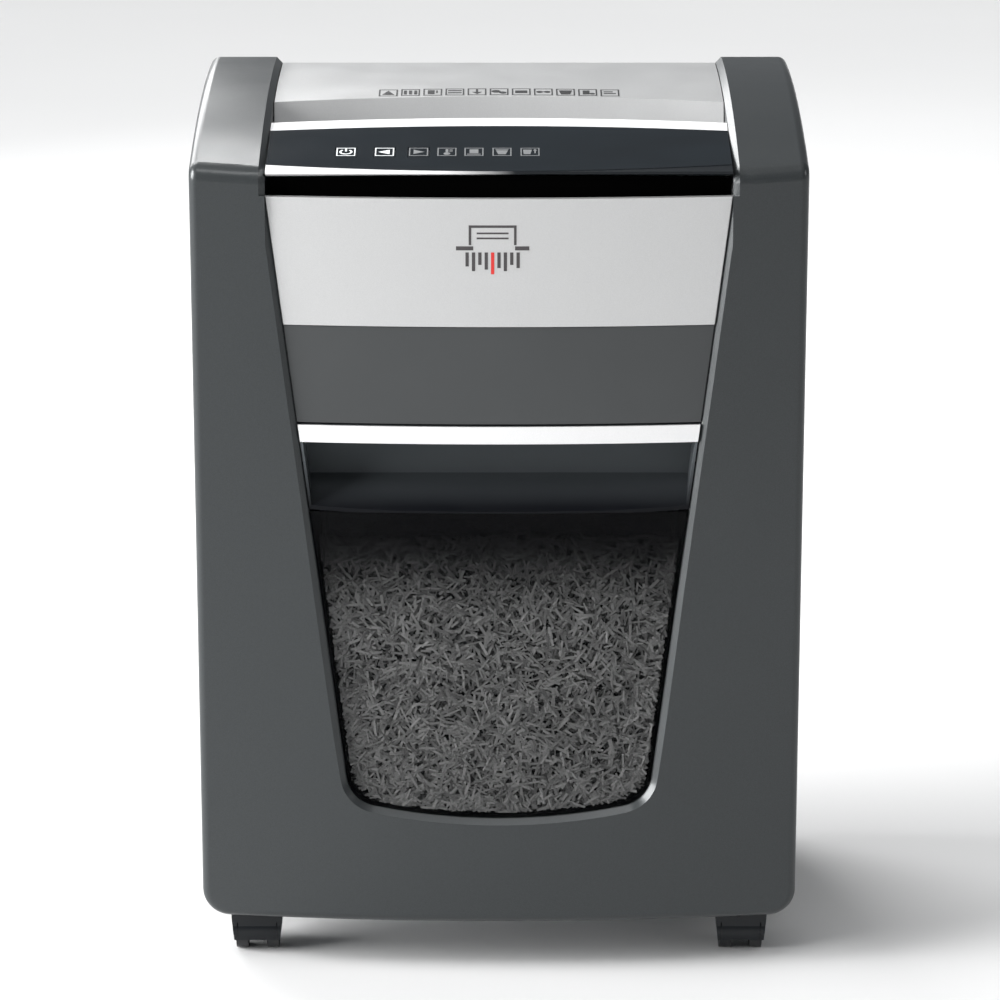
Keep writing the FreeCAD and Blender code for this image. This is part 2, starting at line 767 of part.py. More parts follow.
def fascia(label, inset, z):
    """A bowed front panel with side flanges behind the casing's front wall."""
    face = common(bowed_slab(inner_x - 20, inset, front_wall - inset + 2, z), opening(z[0], z[1], fit_gap))
    flange = common(bowed_slab(inner_x - 20, front_wall, 2, z), opening(z[0], z[1], -9))
    return piece(fuse(face, flange), label)


def head_tray():
    """Steel shelf across the cabinet for the cutting block, with a drop hole and two motor saddles."""
    plate = box((-inner_x + 0.2, inner_x - 0.2), (-112, rear_face), (tray_z - 3, tray_z))
    drop_hole = box((-112, 112), about(nip_y, 45), about(tray_z, 10))
    saddles = [box((x, x + 5), about(motor_y, 30), (tray_z - 1, motor_z - 8)) for x in (-100, -40)]
    can = rod("X", motor_radius, (-150, 20), (motor_y, motor_z))
    return piece(cut(fuse(plate, *saddles), drop_hole, can), "head_tray")


def bin_rails():
    """Two ledges the bin's runners slide on, flanged to the side walls."""
    x = taper_x(runner_z, tub_gap - 1.2)
    length = (pocket_back + 2, 122)
    ledge = box((x, inner_x - 0.2), length, (runner_z - 3.4, runner_z - 0.2))
    flange = box((inner_x - 2.2, inner_x - 0.2), length, (runner_z - 3.4, runner_z + 24))
    right = fuse(ledge, flange)
    return piece(group(right, mirrored(right)), "bin_rails")


def throat_guide(label, side):
    """Bent steel sheet that leads the paper down between the cutters."""
    near_y = nip_y + side * 2.6
    far_y = near_y + side * 2
    outline = [
        (near_y, cutter_z + 27),
        (far_y, cutter_z + 27),
        (far_y, throat_foot - 13),
        (far_y + side * 9, throat_foot - 1.4),
        (near_y + side * 9, throat_foot - 0.8),
        (near_y, throat_foot - 12),
    ]
    if side < 0:
        outline = outline[::-1]
    return piece(prism("YZ", outline, (-plate_x, plate_x), label + "_body"), label)


def throat_lining():
    """Black inner wall of the paper funnel, under the silver rim, with a block at each end."""
    centre = (0, rim_y - rim_bow)
    top = 541
    outer = cone(rim_bow + 12, rim_bow - 0.6, (throat_foot, top), centre)
    inner = cone(rim_bow + 9.5, rim_bow - 3.1, (throat_foot, top), centre)
    limits = box((-panel_x, panel_x), (-70, 10), (throat_foot, top))
    end = box((plate_x + 0.5, panel_x), (nip_y - 30, nip_y + 11), (throat_foot - 5.5, throat_foot))
    return piece(fuse(common(cut(outer, inner), limits), end, mirrored(end)), "throat_lining")


def cutter_plate(label, side):
    """End plate of the cutting block."""
    plate = box((plate_x, plate_x + plate_thick), about(nip_y, 58), (tray_z, cutter_z + 50))
    x = (plate_x - 5, plate_x + 10)
    holes = [rod("X", bush_radius, x, (y, cutter_z)) for y in (front_axis_y, rear_axis_y)]
    right = cut(plate, *holes)
    return piece(right if side > 0 else mirrored(right), label)


def tie_rods():
    """Four rods that hold the two end plates apart."""
    rods = [
        rod("X", 4, (-plate_x, plate_x), (nip_y + side * 50, z))
        for side in (-1, 1)
        for z in (cutter_z - 30, cutter_z + 38)
    ]
    return piece(group(*rods), "tie_rods")


def shaft_bushes():
    """Sintered bushes that carry the shafts in the plates."""
    spans = [((plate_x, plate_x + plate_thick)), ((-plate_x - plate_thick, -plate_x))]
    rings = [
        tube("X", bush_radius, journal + running, span, (y, cutter_z))
        for span in spans
        for y in (front_axis_y, rear_axis_y)
    ]
    return piece(group(*rings), "shaft_bushes")


def comb(label, side, first_x):
    """Wiper strip with a finger between every two discs of one shaft."""
    axis_y = nip_y + side * shaft_gap / 2
    back = axis_y + side * 25
    low, high = (back, back + side * 5) if side > 0 else (back + side * 5, back)
    strip = box((-plate_x, plate_x), (low, high), about(cutter_z, 9))
    width = disc_pitch - disc_thick - 1
    start = first_x + disc_thick + 0.5
    reach = (axis_y + side * 5, back + side) if side > 0 else (back + side, axis_y + side * 5)
    fingers = [
        box((start + i * disc_pitch, start + i * disc_pitch + width), reach, about(cutter_z, 7))
        for i in range(int(disc_count.value) - 1)
    ]
    clear = rod("X", core_radius + 0.5, (-plate_x - 5, plate_x + 5), (axis_y, cutter_z))
    return piece(cut(fuse(strip, *fingers), clear), label)


def cutter_shaft(label, y, left, right, first_x):
    """Shaft with journals, and the spacers between the discs."""
    shaft = rod("X", journal, (left, right), (y, cutter_z))
    last_x = first_x + disc_pitch * (disc_count - 1) + disc_thick
    core = rod("X", core_radius, (-plate_x + 0.6, plate_x - 0.6), (y, cutter_z))
    gaps = [
        rod("X", 30, (first_x + i * disc_pitch, first_x + i * disc_pitch + disc_thick), (y, cutter_z))
        for i in range(int(disc_count.value))
    ]
    sleeves = cut(core, *gaps)
    return piece(fuse(shaft, sleeves), label)


def toothed_disc(y, first_x):
    """One cutter disc: eight hooked teeth round a bored plate."""
    hooks = 8
    points = []
    for i in range(hooks):
        start = 2 * math.pi * i / hooks
        for share, radius in ((0.0, 1.0), (0.45, 0.985), (0.8, 0.94), (0.86, 0.8)):
            angle = start + share * 2 * math.pi / hooks
            reach = disc_radius.value * radius
            points.append(Vector(0, reach * math.cos(angle), reach * math.sin(angle)))
    face = Part.Face(Part.makePolygon(points + points[:1]))
    disc = face.extrude(Vector(disc_thick.value, 0, 0))
    bore = Part.makeCylinder(journal.value, 20, Vector(-5, 0, 0), Vector(1, 0, 0))
    disc = disc.cut(bore)
    disc.translate(Vector(lift(first_x).value, y.value, cutter_z.value))
    return disc


def cutter_discs(label, y, first_x):
    """The row of discs on one shaft, each turned a little against the last."""
    discs = []
    for i in range(int(disc_count.value)):
        disc = toothed_disc(y, first_x)
        disc.rotate(Vector(0, y.value, cutter_z.value), Vector(1, 0, 0), 15 * i)
        disc.translate(Vector(i * disc_pitch.value, 0, 0))
        discs.append(disc)
    return piece(shaped(Part.makeCompound(discs), label), label)


# ------------------------------------------------------------------ gears


def gear_solid(teeth, module, phase, x, centre, bore):
    """A spur gear about an axis along X: one tooth centred at phase degrees from +Y towards +Z."""
    pressure = math.radians(25)
    z, m = int(lift(teeth).value), lift(module).value
    pitch_r = m * z / 2
    base_r, tip_r, foot_r = pitch_r * math.cos(pressure), pitch_r + 0.92 * m, pitch_r - 1.2 * m
    involute = math.tan(pressure) - pressure
    half_tooth = math.pi / (2 * z) - 0.06 / pitch_r
    start_r = max(base_r, foot_r)
    flank = []
    for step in range(7):
        r = start_r + (tip_r - start_r) * step / 6
        a = math.acos(min(1.0, base_r / r))
        flank.append((r, half_tooth + involute - (math.tan(a) - a)))
    points = []
    for i in range(z):
        middle = math.radians(phase) + 2 * math.pi * i / z
        profile = [(foot_r, -flank[0][1] * 1.05)] + [(r, -t) for r, t in flank]
        profile += [(r, t) for r, t in reversed(flank)] + [(foot_r, flank[0][1] * 1.05)]
        for r, t in profile:
            points.append(Vector(lift(x[0]).value, r * math.cos(middle + t), r * math.sin(middle + t)))
    width = (lift(x[1]) - x[0]).value
    wheel = Part.Face(Part.makePolygon(points + points[:1])).extrude(Vector(width, 0, 0))
    start = Vector(lift(x[0]).value - 1, 0, 0)
    wheel = wheel.cut(Part.makeCylinder(lift(bore).value, width + 2, start, Vector(1, 0, 0)))
    wheel.translate(Vector(0, lift(centre[0]).value, lift(centre[1]).value))
    return wheel


def meshed(phase, teeth, other_teeth, direction):
    """Phase of the gear that meshes with one at phase, lying in a direction given in degrees."""
    first, second = int(teeth.value), int(other_teeth.value)
    offset = (phase - direction) % (360 / first)
    return direction + 180 + 180 / second - offset * first / second


def step_from(centre, distance, degrees):
    """A point at a distance and direction from centre, in Y and Z."""
    angle = math.radians(degrees)
    return centre[0] + distance * math.cos(angle), centre[1] + distance * math.sin(angle)


def pair_distance(teeth, other_teeth, module):
    return (teeth + other_teeth) * module / 2


def hub(radius, bore, x, centre):
    """A plain ring beside a gear, as a shape."""
    low, high = lift(x[0]).value, lift(x[1]).value
    base = Vector(low, lift(centre[0]).value, lift(centre[1]).value)
    along = Vector(1, 0, 0)
    ring = Part.makeCylinder(lift(radius).value, high - low, base, along)
    return ring.cut(Part.makeCylinder(lift(bore).value, high - low + 2, base - along, along))


# ------------------------------------------------------------------ derived places

deck_edge_z = crown_z(deck_y, deck_drop)
final_place = (rear_axis_y, cutter_z)
second_place = step_from(final_place, pair_distance(final_teeth, final_pinion, final_module), 50)
first_place = step_from(second_place, pair_distance(second_teeth, second_pinion, second_module), -10)
motor_place = step_from(first_place, pair_distance(first_teeth, first_pinion, first_module), -100)
motor_y, motor_z = motor_place
final_phase = 0.0
second_pinion_phase = meshed(final_phase, final_teeth, final_pinion, 50)
second_wheel_phase = 0.0
first_pinion_phase = meshed(second_wheel_phase, second_teeth, second_pinion, -10)
first_wheel_phase = 0.0
motor_pinion_phase = meshed(first_wheel_phase, first_teeth, first_pinion, -100)


def gearbox_plate():
    """Large plate beside the cutting block that carries the motor and the gear spindles."""
    x = (-plate_x - 2 * plate_thick, -plate_x - plate_thick)
    plate = fuse(
        box(x, (nip_y - 50, 10), (tray_z, throat_foot - 6.5)),
        box(x, (6, rear_face - 3), (tray_z, 528)),
    )
    holes = [rod("X", journal + 1, (x[0] - 5, x[1] + 5), (y, cutter_z)) for y in (front_axis_y, rear_axis_y)]
    holes.append(rod("X", motor_shaft + 4, (x[0] - 5, x[1] + 5), motor_place))
    holes += [rod("X", spindle, (x[0] - 5, x[1] + 5), place) for place in (first_place, second_place)]
    return piece(cut(plate, *holes), "gearbox_plate")


def gear_spindles():
    """Fixed pins the two idler gears turn on."""
    x = (-160, -plate_x - plate_thick - 0.5)
    pins = [rod("X", spindle, (x[0], -plate_x - plate_thick), first_place)]
    pins.append(rod("X", spindle, (-150 - 0.5, -plate_x - plate_thick), second_place))
    return piece(group(*pins), "gear_spindles")


def first_gear():
    """Idler with a wheel driven by the motor and a pinion that drives the second wheel."""
    bore = spindle + running
    wheel = gear_solid(first_teeth, first_module, first_wheel_phase, FIRST_X, first_place, bore)
    pinion = gear_solid(second_pinion, second_module, first_pinion_phase, SECOND_X, first_place, bore)
    middle = hub(8, bore, (FIRST_X[1], SECOND_X[0]), first_place)
    return piece(shaped(wheel.fuse([middle, pinion]), "first_gear"), "first_gear")


def second_gear():
    """Idler with the second wheel and the pinion that drives the rear shaft."""
    bore = spindle + running
    wheel = gear_solid(second_teeth, second_module, second_wheel_phase, SECOND_X, second_place, bore)
    pinion = gear_solid(final_pinion, final_module, second_pinion_phase, FINAL_X, second_place, bore)
    middle = hub(10, bore, (SECOND_X[1], FINAL_X[0]), second_place)
    return piece(shaped(wheel.fuse([middle, pinion]), "second_gear"), "second_gear")


def final_gear():
    """Wheel keyed on the rear shaft."""
    wheel = gear_solid(final_teeth, final_module, final_phase, FINAL_X, final_place, journal)
    return piece(shaped(wheel, "final_gear"), "final_gear")


def sync_gear(label, y, phase):
    """One of the two equal gears that make the shafts turn against each other."""
    wheel = gear_solid(sync_teeth, sync_module, phase, SYNC_X, (y, cutter_z), journal)
    return piece(shaped(wheel, label), label)


def motor_stator():
    """Motor can with end caps and a winding ring."""
    left, right = -plate_x - plate_thick, lift(-16)
    can = tube("X", motor_radius, motor_radius - 2.5, (left, right), motor_place)
    caps = [
        tube("X", motor_radius, motor_shaft + running, span, motor_place)
        for span in ((left, left + 4), (right - 4, right))
    ]
    winding = tube("X", motor_radius - 2.5, 24, (left + 20, right - 20), motor_place)
    return piece(fuse(can, *caps, winding), "motor_stator")


def motor_rotor():
    """Motor shaft with its armature, cooling fan and pinion."""
    shaft = rod("X", motor_shaft, (FIRST_X[0] - 1, -4), motor_place)
    armature = rod("X", 23, (-95, -40), motor_place)
    fan = rod("X", 27, (-14, -6), motor_place)
    pinion = gear_solid(first_pinion, first_module, motor_pinion_phase, FIRST_X, motor_place, motor_shaft)
    return piece(fuse(shaft, armature, fan, shaped(pinion, "motor_pinion")), "motor_rotor")


# ------------------------------------------------------------------ electrics


def control_board():
    """Mains board on four posts, with its transformer, two capacitors, a relay and a heat sink."""
    z = tray_z + 8
    board = box((128, 186), (30, 120), (z, z + 1.6))
    posts = [rod("Z", 3, (tray_z, z), (x, y)) for x in (132, 182) for y in (34, 116)]
    transformer = box((136, 168), (82, 114), (z, z + 30))
    relay = box((134, 152), (60, 74), (z, z + 17))
    sink = box((172, 176), (40, 74), (z, z + 28))
    caps = [rod("Z", 6, (z, z + 24), (x, 46)) for x in (140, 158)]
    return piece(fuse(board, *posts, transformer, relay, sink, *caps), "control_board")


def bin_switch():
    """Microswitch behind the bin, on a bracket from the back wall."""
    block = box(about(lever_x, 10), (rear_face - 4, rear_face), (330, 341))
    return piece(block, "bin_switch")


def interlock_lever():
    """Leaf that the closed bin presses against the microswitch, hinged at its lower end."""
    pin = rod("X", 2, about(lever_x, 8), (lever_y, lever_z))
    leaf = box(about(lever_x, 6), about(lever_y, 0.6), (lever_z, lever_z + 26))
    return piece(fuse(pin, leaf), "interlock_lever")


def lever_bracket():
    """Two ears on the back wall that hold the lever's pin."""
    ears = []
    for x in (lever_x - 8, lever_x + 6.5):
        ear = box((x, x + 1.5), (lever_y - 4, rear_face), about(lever_z, 4))
        ears.append(cut(ear, rod("X", 2 + running, (x - 2, x + 4), (lever_y, lever_z))))
    return piece(group(*ears), "lever_bracket")


def mains_inlet():
    """Three-pin inlet in the back wall, with a flange outside."""
    block = box(about(inlet_x, 13.6), (rear_face - 16, rear_face + 3), about(inlet_z, 10))
    flange = box(about(inlet_x, 16), (rear_face + 3, rear_face + 4.5), about(inlet_z, 13))
    well = box(about(inlet_x, 12), (rear_face - 12, rear_face + 9), about(inlet_z, 8))
    pins = [
        box(about(inlet_x + x, 1), (rear_face - 13, rear_face + 2), about(inlet_z + z, 2))
        for x, z in ((-7, -2), (0, 2), (7, -2))
    ]
    return piece(fuse(cut(fuse(block, flange), well), *pins), "mains_inlet")


def switch_housing():
    """Frame of the mains switch."""
    block = box(about(switch_x, 9.7), (rear_face - 14, rear_face + 3), about(inlet_z, 6.7))
    flange = box(about(switch_x, 12), (rear_face + 3, rear_face + 4.5), about(inlet_z, 9))
    well = box(about(switch_x, 8), (rear_face - 11, rear_face + 9), about(inlet_z, 5))
    holes = rod("Z", 1 + running, about(inlet_z, 6), (switch_x, rocker_y))
    return piece(cut(fuse(block, flange), well, holes), "switch_housing")


def mains_rocker():
    """Rocker of the mains switch, dished between its two ends."""
    outline = [
        (switch_x - 7, rocker_y - 2),
        (switch_x + 7, rocker_y - 2),
        (switch_x + 7.3, rocker_y + 2.6),
        (switch_x, rocker_y + 1.6),
        (switch_x - 7.3, rocker_y + 4.6),
    ]
    block = prism("XY", outline, about(inlet_z, 4.6), "rocker_body")
    pin = rod("Z", 1, about(inlet_z, 5.9), (switch_x, rocker_y))
    return piece(fuse(block, pin), "mains_rocker")


def casing_screws():
    """Ten cross-head screws in the back wall."""
    screws = []
    for x in (-182, 182, -60, 60):
        for z in (58, 300, 524) if abs(x) > 100 else (58, 524):
            head = rod("Y", 3.6, (rear_face + 3, rear_face + 4.6), (x, z))
            cross = box(about(x, 2.4), (rear_face + 3.6, rear_face + 8), about(z, 0.5))
            upright_slot = box(about(x, 0.5), (rear_face + 3.6, rear_face + 8), about(z, 2.4))
            screws.append(cut(head, cross, upright_slot))
    return piece(group(*screws), "casing_screws")


# ------------------------------------------------------------------ bin


def bin_tub():
    """The bin's tapered sides, back and curved floor, with a runner along each side."""
    block = bowed(inner_x, rim_back, tub_back, TALL)
    outside = common(bin_opening(tub_rim, tub_gap, (-150, tub_back)), block)
    inside = bin_opening(tub_rim + 40, tub_gap + tub_wall, (-160, tub_back - tub_wall))
    front_cut = box(ACROSS, (-160, pocket_back), (window_high, 500))
    x = taper_x(runner_z, tub_gap)
    runner = box((x - 1.5, x + 3), (pocket_back + 4, tub_back - 4), (runner_z, runner_z + 4))
    tub = cut(fuse(outside, runner, mirrored(runner)), inside, front_cut)
    return piece(tub, "bin_tub")


def bin_front():
    """Finger pocket across the bin's front: a lip, a sloping wall and the handle bar above."""
    y = front_y + face_inset
    wall = prism(
        "YZ",
        [
            (y - 8, window_high),
            (y + 3.5, window_high),
            (y + 31, window_high + 17.5),
            (pocket_back, window_high + 40),
            (pocket_back, handle_high),
            (y - 8, handle_high),
        ],
        ACROSS,
        "pocket_wall",
    )
    hollow = prism(
        "YZ",
        [
            (y - 9, window_high + 1.2),
            (y + 1.5, window_high + 1.2),
            (y + 28, window_high + 19.5),
            (pocket_back - 2.8, window_high + 41),
            (pocket_back - 2.8, handle_high - 2.6),
            (y + 10, handle_high - 2.6),
            (y + 10, handle_low),
            (y - 9, handle_low),
        ],
        ACROSS,
        "pocket_hollow",
    )
    ends = opening(window_high - 5, handle_high + 5, fit_gap + POCKET_END, (-160, 0))
    skin = common(wall, bowed(inner_x, face_inset, 0, TALL), opening(window_high, handle_high, fit_gap))
    return piece(cut(skin, common(hollow, ends)), "bin_front")


def bin_handle_strip():
    """Silver strip on the handle bar."""
    z = (handle_low, handle_high)
    slab = bowed_slab(inner_x - 20, face_inset - 1.2, 1.2, z)
    return piece(common(slab, opening(z[0], z[1], fit_gap)), "bin_handle_strip")


def bin_window():
    """Smoked clear front of the bin, with a clear rim that runs back to the tub."""
    x = inner_x - 20
    block = bowed_slab(x, face_inset, rim_back - face_inset, (0, window_high))
    hollow = bowed_slab(x, skin_back, rim_back - RIM_WALL - skin_back, TALL)
    inside = common(hollow, bin_opening(500, fit_gap + RIM_WALL))
    through = common(bowed(x, rim_back - 2 * RIM_WALL, 0, TALL), bin_opening(500, tub_gap + tub_wall))
    return piece(cut(common(block, bin_opening(window_high, fit_gap)), inside, through), "bin_window")


def shredded_paper():
    """The heap of shredded paper in the bin, as one block that fills the window's rim and the tub."""
    low_front = skin_back + PAPER_GAP
    front_depth = rim_back - RIM_WALL - PAPER_GAP - low_front
    at_window = bin_opening(paper_top, fit_gap + RIM_WALL + PAPER_GAP)
    front = common(bowed_slab(inner_x - 20, low_front, front_depth, TALL), at_window)
    rear = bin_opening(paper_top, tub_gap + tub_wall + PAPER_GAP, (-150, tub_back - tub_wall - PAPER_GAP))
    rear = common(rear, bowed(inner_x, low_front, 200, TALL))
    return piece(fuse(front, rear), "shredded_paper")


# ------------------------------------------------------------------ castors


def castor_fork(label, side, swivel_y):
    """Hood over two wheels, narrower towards the floor and square above, with a stem up into the cabinet."""
    x = side * castor_x
    axle = (swivel_y + trail, wheel_radius)
    widest = HOOD_SIDES[-1][0]
    round_part = rod("X", hood_radius, (x - widest, x + widest), axle)
    square_y = (axle[0] - hood_radius + 0.8, swivel_y + stem_radius + 3)
    square_part = box((x - widest, x + widest), square_y, (wheel_radius, hood_top))
    right = [(x + half, z) for half, z in HOOD_SIDES]
    left = [(x - half, z) for half, z in reversed(HOOD_SIDES)]
    sides = prism("XZ", right + left, (swivel_y - 40, swivel_y + 50), "hood_sides")
    hood = common(fuse(round_part, square_part), sides)
    stem = rod("Z", stem_radius, (wheel_radius, stem_top), (x, swivel_y))
    inner, outer = WHEEL_SPAN[0] - WHEEL_GAP, WHEEL_SPAN[1] + WHEEL_GAP
    wheel_rooms = [
        rod("X", wheel_radius + 0.6, (x + a, x + b), axle)
        for a, b in ((-outer, -inner), (inner, outer))
    ]
    grooves = [
        tube("X", hood_radius + 1, hood_radius - 0.5, about(x + place, 0.4), axle)
        for place in (-HOOD_GROOVE, HOOD_GROOVE)
    ]
    below = box(about(x, 20), (swivel_y - 40, swivel_y + 50), (-5, hood_low))
    bore = rod("X", AXLE_RADIUS + running, about(x, 20), axle)
    return piece(cut(fuse(hood, stem), below, bore, *grooves, *wheel_rooms), label)


def castor_wheels(label, side, swivel_y):
    """Two wheels on one axle, each dished on its outer face."""
    x = side * castor_x
    axle = (swivel_y + trail, wheel_radius)
    inner, outer = WHEEL_SPAN
    wheels = []
    for a, b, face in ((-outer, -inner, -outer), (inner, outer, outer)):
        dish = tube("X", wheel_radius - 3.5, 5, about(x + face, 1.2), axle)
        wheels.append(cut(rod("X", wheel_radius, (x + a, x + b), axle), dish))
    axle_pin = rod("X", AXLE_RADIUS, (x - outer - 1.2, x + outer + 1.2), axle)
    return piece(fuse(axle_pin, *wheels), label)


CASTORS = {
    "front_left": (-1, castor_front_y),
    "front_right": (1, castor_front_y),
    "back_left": (-1, castor_back_y),
    "back_right": (1, castor_back_y),
}


def build():
    """Makes every piece."""
    outer_casing()
    rear_panel()
    base_plate()
    castor_sockets()
    top_cover()
    control_bezel()
    touch_panel()
    display_board()
    for name in key_x:
        push_key(name)
    recess_band()
    fascia("silver_fascia", 2.4, (silver_low, silver_high))
    fascia("lower_fascia", 3, (seam_z, silver_low - 0.5))
    head_tray()
    bin_rails()
    throat_lining()
    throat_guide("throat_guide_front", -1)
    throat_guide("throat_guide_rear", 1)
    cutter_plate("cutter_plate_left", -1)
    cutter_plate("cutter_plate_right", 1)
    tie_rods()
    shaft_bushes()
    comb("front_wiper_comb", -1, front_discs_x)
    comb("rear_wiper_comb", 1, rear_discs_x)
    cutter_shaft("front_shaft", front_axis_y, -plate_x - 5, SYNC_X[1] + 1, front_discs_x)
    cutter_shaft("rear_shaft", rear_axis_y, FINAL_X[0] - 1, SYNC_X[1] + 1, rear_discs_x)
    cutter_discs("front_discs", front_axis_y, front_discs_x)
    cutter_discs("rear_discs", rear_axis_y, rear_discs_x)
    sync_gear("front_sync_gear", front_axis_y, 0.0)
    sync_gear("rear_sync_gear", rear_axis_y, meshed(0.0, sync_teeth, sync_teeth, 0.0))
    gearbox_plate()
    gear_spindles()
    first_gear()
    second_gear()
    final_gear()
    motor_stator()
    motor_rotor()
    control_board()
    bin_switch()
    interlock_lever()
    lever_bracket()
    mains_inlet()
    switch_housing()
    mains_rocker()
    casing_screws()
    bin_tub()
    bin_front()
    bin_handle_strip()
    bin_window()
    shredded_paper()
    for name, (side, y) in CASTORS.items():
        castor_fork(f"castor_fork_{name}", side, y)
        castor_wheels(f"castor_wheels_{name}", side, y)


def check():
    """Stops when an object failed or a piece's shape is empty or not valid."""
    failed = [obj.Label for obj in doc.Objects if "Invalid" in obj.State or "Error" in obj.State]
    for obj in pieces:
        if obj.Shape.isNull() or not obj.Shape.isValid() or obj.Shape.Volume <= 0:
            failed.append(obj.Label)
    if failed:
        raise RuntimeError("failed: " + ", ".join(failed))


build()
doc.recompute()
check()
os.makedirs("parts", exist_ok=True)
for obj in pieces:
    obj.Shape.exportStep(f"parts/{obj.Label}.step")
print(len(pieces), "pieces")
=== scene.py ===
"""A cabinet paper shredder with its finishes, its shredded paper, its pictograms and a studio round it.

The scene is in metres: +Z up, +Y towards the back, +X to the right seen from the front. Sizes that belong to
the object are given in millimetres, in its own frame, and turned into metres with MM.
"""

import json
import math
import random

import bmesh
import bpy
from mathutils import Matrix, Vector


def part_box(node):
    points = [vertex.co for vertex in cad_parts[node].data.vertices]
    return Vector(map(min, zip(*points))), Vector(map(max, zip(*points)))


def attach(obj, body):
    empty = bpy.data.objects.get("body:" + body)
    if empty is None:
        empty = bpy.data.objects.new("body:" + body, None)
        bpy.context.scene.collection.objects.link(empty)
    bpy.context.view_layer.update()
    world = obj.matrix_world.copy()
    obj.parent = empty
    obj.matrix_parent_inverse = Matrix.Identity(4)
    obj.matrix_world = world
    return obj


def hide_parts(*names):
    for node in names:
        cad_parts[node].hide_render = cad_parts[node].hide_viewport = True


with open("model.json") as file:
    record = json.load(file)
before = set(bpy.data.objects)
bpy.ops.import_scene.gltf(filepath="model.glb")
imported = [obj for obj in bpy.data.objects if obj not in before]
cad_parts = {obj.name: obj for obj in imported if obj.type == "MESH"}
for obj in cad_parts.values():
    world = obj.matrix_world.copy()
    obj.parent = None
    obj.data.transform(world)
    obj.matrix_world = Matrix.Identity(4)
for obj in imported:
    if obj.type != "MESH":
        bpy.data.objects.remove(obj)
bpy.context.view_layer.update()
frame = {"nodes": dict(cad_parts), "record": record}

MM = 0.001

# The cabinet's own sizes.
FRONT_Y = -134.0  # the middle of the bowed front
BOW = 1300.0  # radius of the front's bow
OPEN_HALF = 146.9  # half the front opening's width, at its top
TAPER = 0.1239  # how far each side of the opening leans in, per unit of height
TAPER_TOP = 518.0  # height of the opening's top
SILL = 106.4  # height of the opening's lower edge, at its middle
SILL_BOW = 430.0  # radius of that edge's bow
SILL_CORNER = 22.0  # radius of the opening's lower corners
PANEL_FRONT = (-125.7, 533.8)  # y and z of the control panel's front edge
PANEL_TILT = math.radians(10.43)
LENS_PROUD = 0.4  # how far the lens stands above the panel's plane
CROWN = 750.0  # radius of the cabinet's crowned top, seen from the side
CROWN_Y = 89.6  # where the crown is highest
CROWN_TOP = 565.0
DECK_DROP = 4.0  # how far the deck lies below the crown
FASCIA_INSET = 2.4  # how far the silver front panel lies behind the bow


# ------------------------------------------------------------------ meshes


def new_object(name, mesh_data, body):
    """Links a finished bmesh as a piece that rides on a body."""
    mesh = bpy.data.meshes.new(name)
    mesh_data.to_mesh(mesh)
    mesh_data.free()
    obj = bpy.data.objects.new(name, mesh)
    bpy.context.scene.collection.objects.link(obj)
    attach(obj, body)
    return obj


def add_prism(bm, outline, place, low, high):
    """Adds a flat shape: an outline of (u, v) points, counter-clockwise, set between two heights by place."""
    count = len(outline)
    bottom = [bm.verts.new(place(u, v, low)) for u, v in outline]
    top = [bm.verts.new(place(u, v, high)) for u, v in outline]
    bm.faces.new(top)
    bm.faces.new(bottom[::-1])
    for i in range(count):
        j = (i + 1) % count
        bm.faces.new((bottom[i], bottom[j], top[j], top[i]))


def rectangle(u, v, wide, high):
    """Outline of a rectangle about (u, v)."""
    return [
        (u - wide / 2, v - high / 2),
        (u + wide / 2, v - high / 2),
        (u + wide / 2, v + high / 2),
        (u - wide / 2, v + high / 2),
    ]


def box_frame(wide, high, line):
    """Four bars round a rectangle."""
    return [
        rectangle(0, (high - line) / 2, wide, line),
        rectangle(0, -(high - line) / 2, wide, line),
        rectangle((wide - line) / 2, 0, line, high - 2 * line),
        rectangle(-(wide - line) / 2, 0, line, high - 2 * line),
    ]


DISC_SIDES = 20
ARC_STEPS = 18


def disc(u, v, radius):
    """Outline of a circle."""
    turns = [2 * math.pi * i / DISC_SIDES for i in range(DISC_SIDES)]
    return [(u + radius * math.cos(turn), v + radius * math.sin(turn)) for turn in turns]


def arc_band(radius, line, start, end):
    """Quads along an arc, with angles in degrees."""
    inner = radius - line / 2
    outer = radius + line / 2
    quads = []
    for i in range(ARC_STEPS):
        a = math.radians(start + (end - start) * i / ARC_STEPS)
        b = math.radians(start + (end - start) * (i + 1) / ARC_STEPS)
        quads.append(
            [
                (inner * math.cos(a), inner * math.sin(a)),
                (outer * math.cos(a), outer * math.sin(a)),
                (outer * math.cos(b), outer * math.sin(b)),
                (inner * math.cos(b), inner * math.sin(b)),
            ]
        )
    return quads


def bow_y(x):
    """The bowed front's y at x."""
    return FRONT_Y + BOW - math.sqrt(BOW**2 - x**2)


def on_panel(centre_x, centre_y):
    """Placer for a shape on the sloping lens: u to the right, v up the slope."""

    def place(u, v, height):
        y = centre_y + v * math.cos(PANEL_TILT)
        z = PANEL_FRONT[1] + (y - PANEL_FRONT[0]) * math.tan(PANEL_TILT)
        rise = LENS_PROUD + height
        y -= rise * math.sin(PANEL_TILT)
        z += rise * math.cos(PANEL_TILT)
        return Vector((centre_x + u, y, z)) * MM

    return place


def on_deck(centre_x, centre_y):
    """Placer for a shape on the curved deck."""

    def place(u, v, height):
        y = centre_y + v
        radius = CROWN - DECK_DROP + height
        z = CROWN_TOP - CROWN + math.sqrt(radius**2 - (y - CROWN_Y) ** 2)
        return Vector((centre_x + u, y, z)) * MM

    return place


def on_fascia(centre_x, centre_z):
    """Placer for a shape on the bowed silver front panel: u to the right, v up."""

    def place(u, v, height):
        x = centre_x + u
        return Vector((x, bow_y(x) + FASCIA_INSET - height, centre_z + v)) * MM

    return place


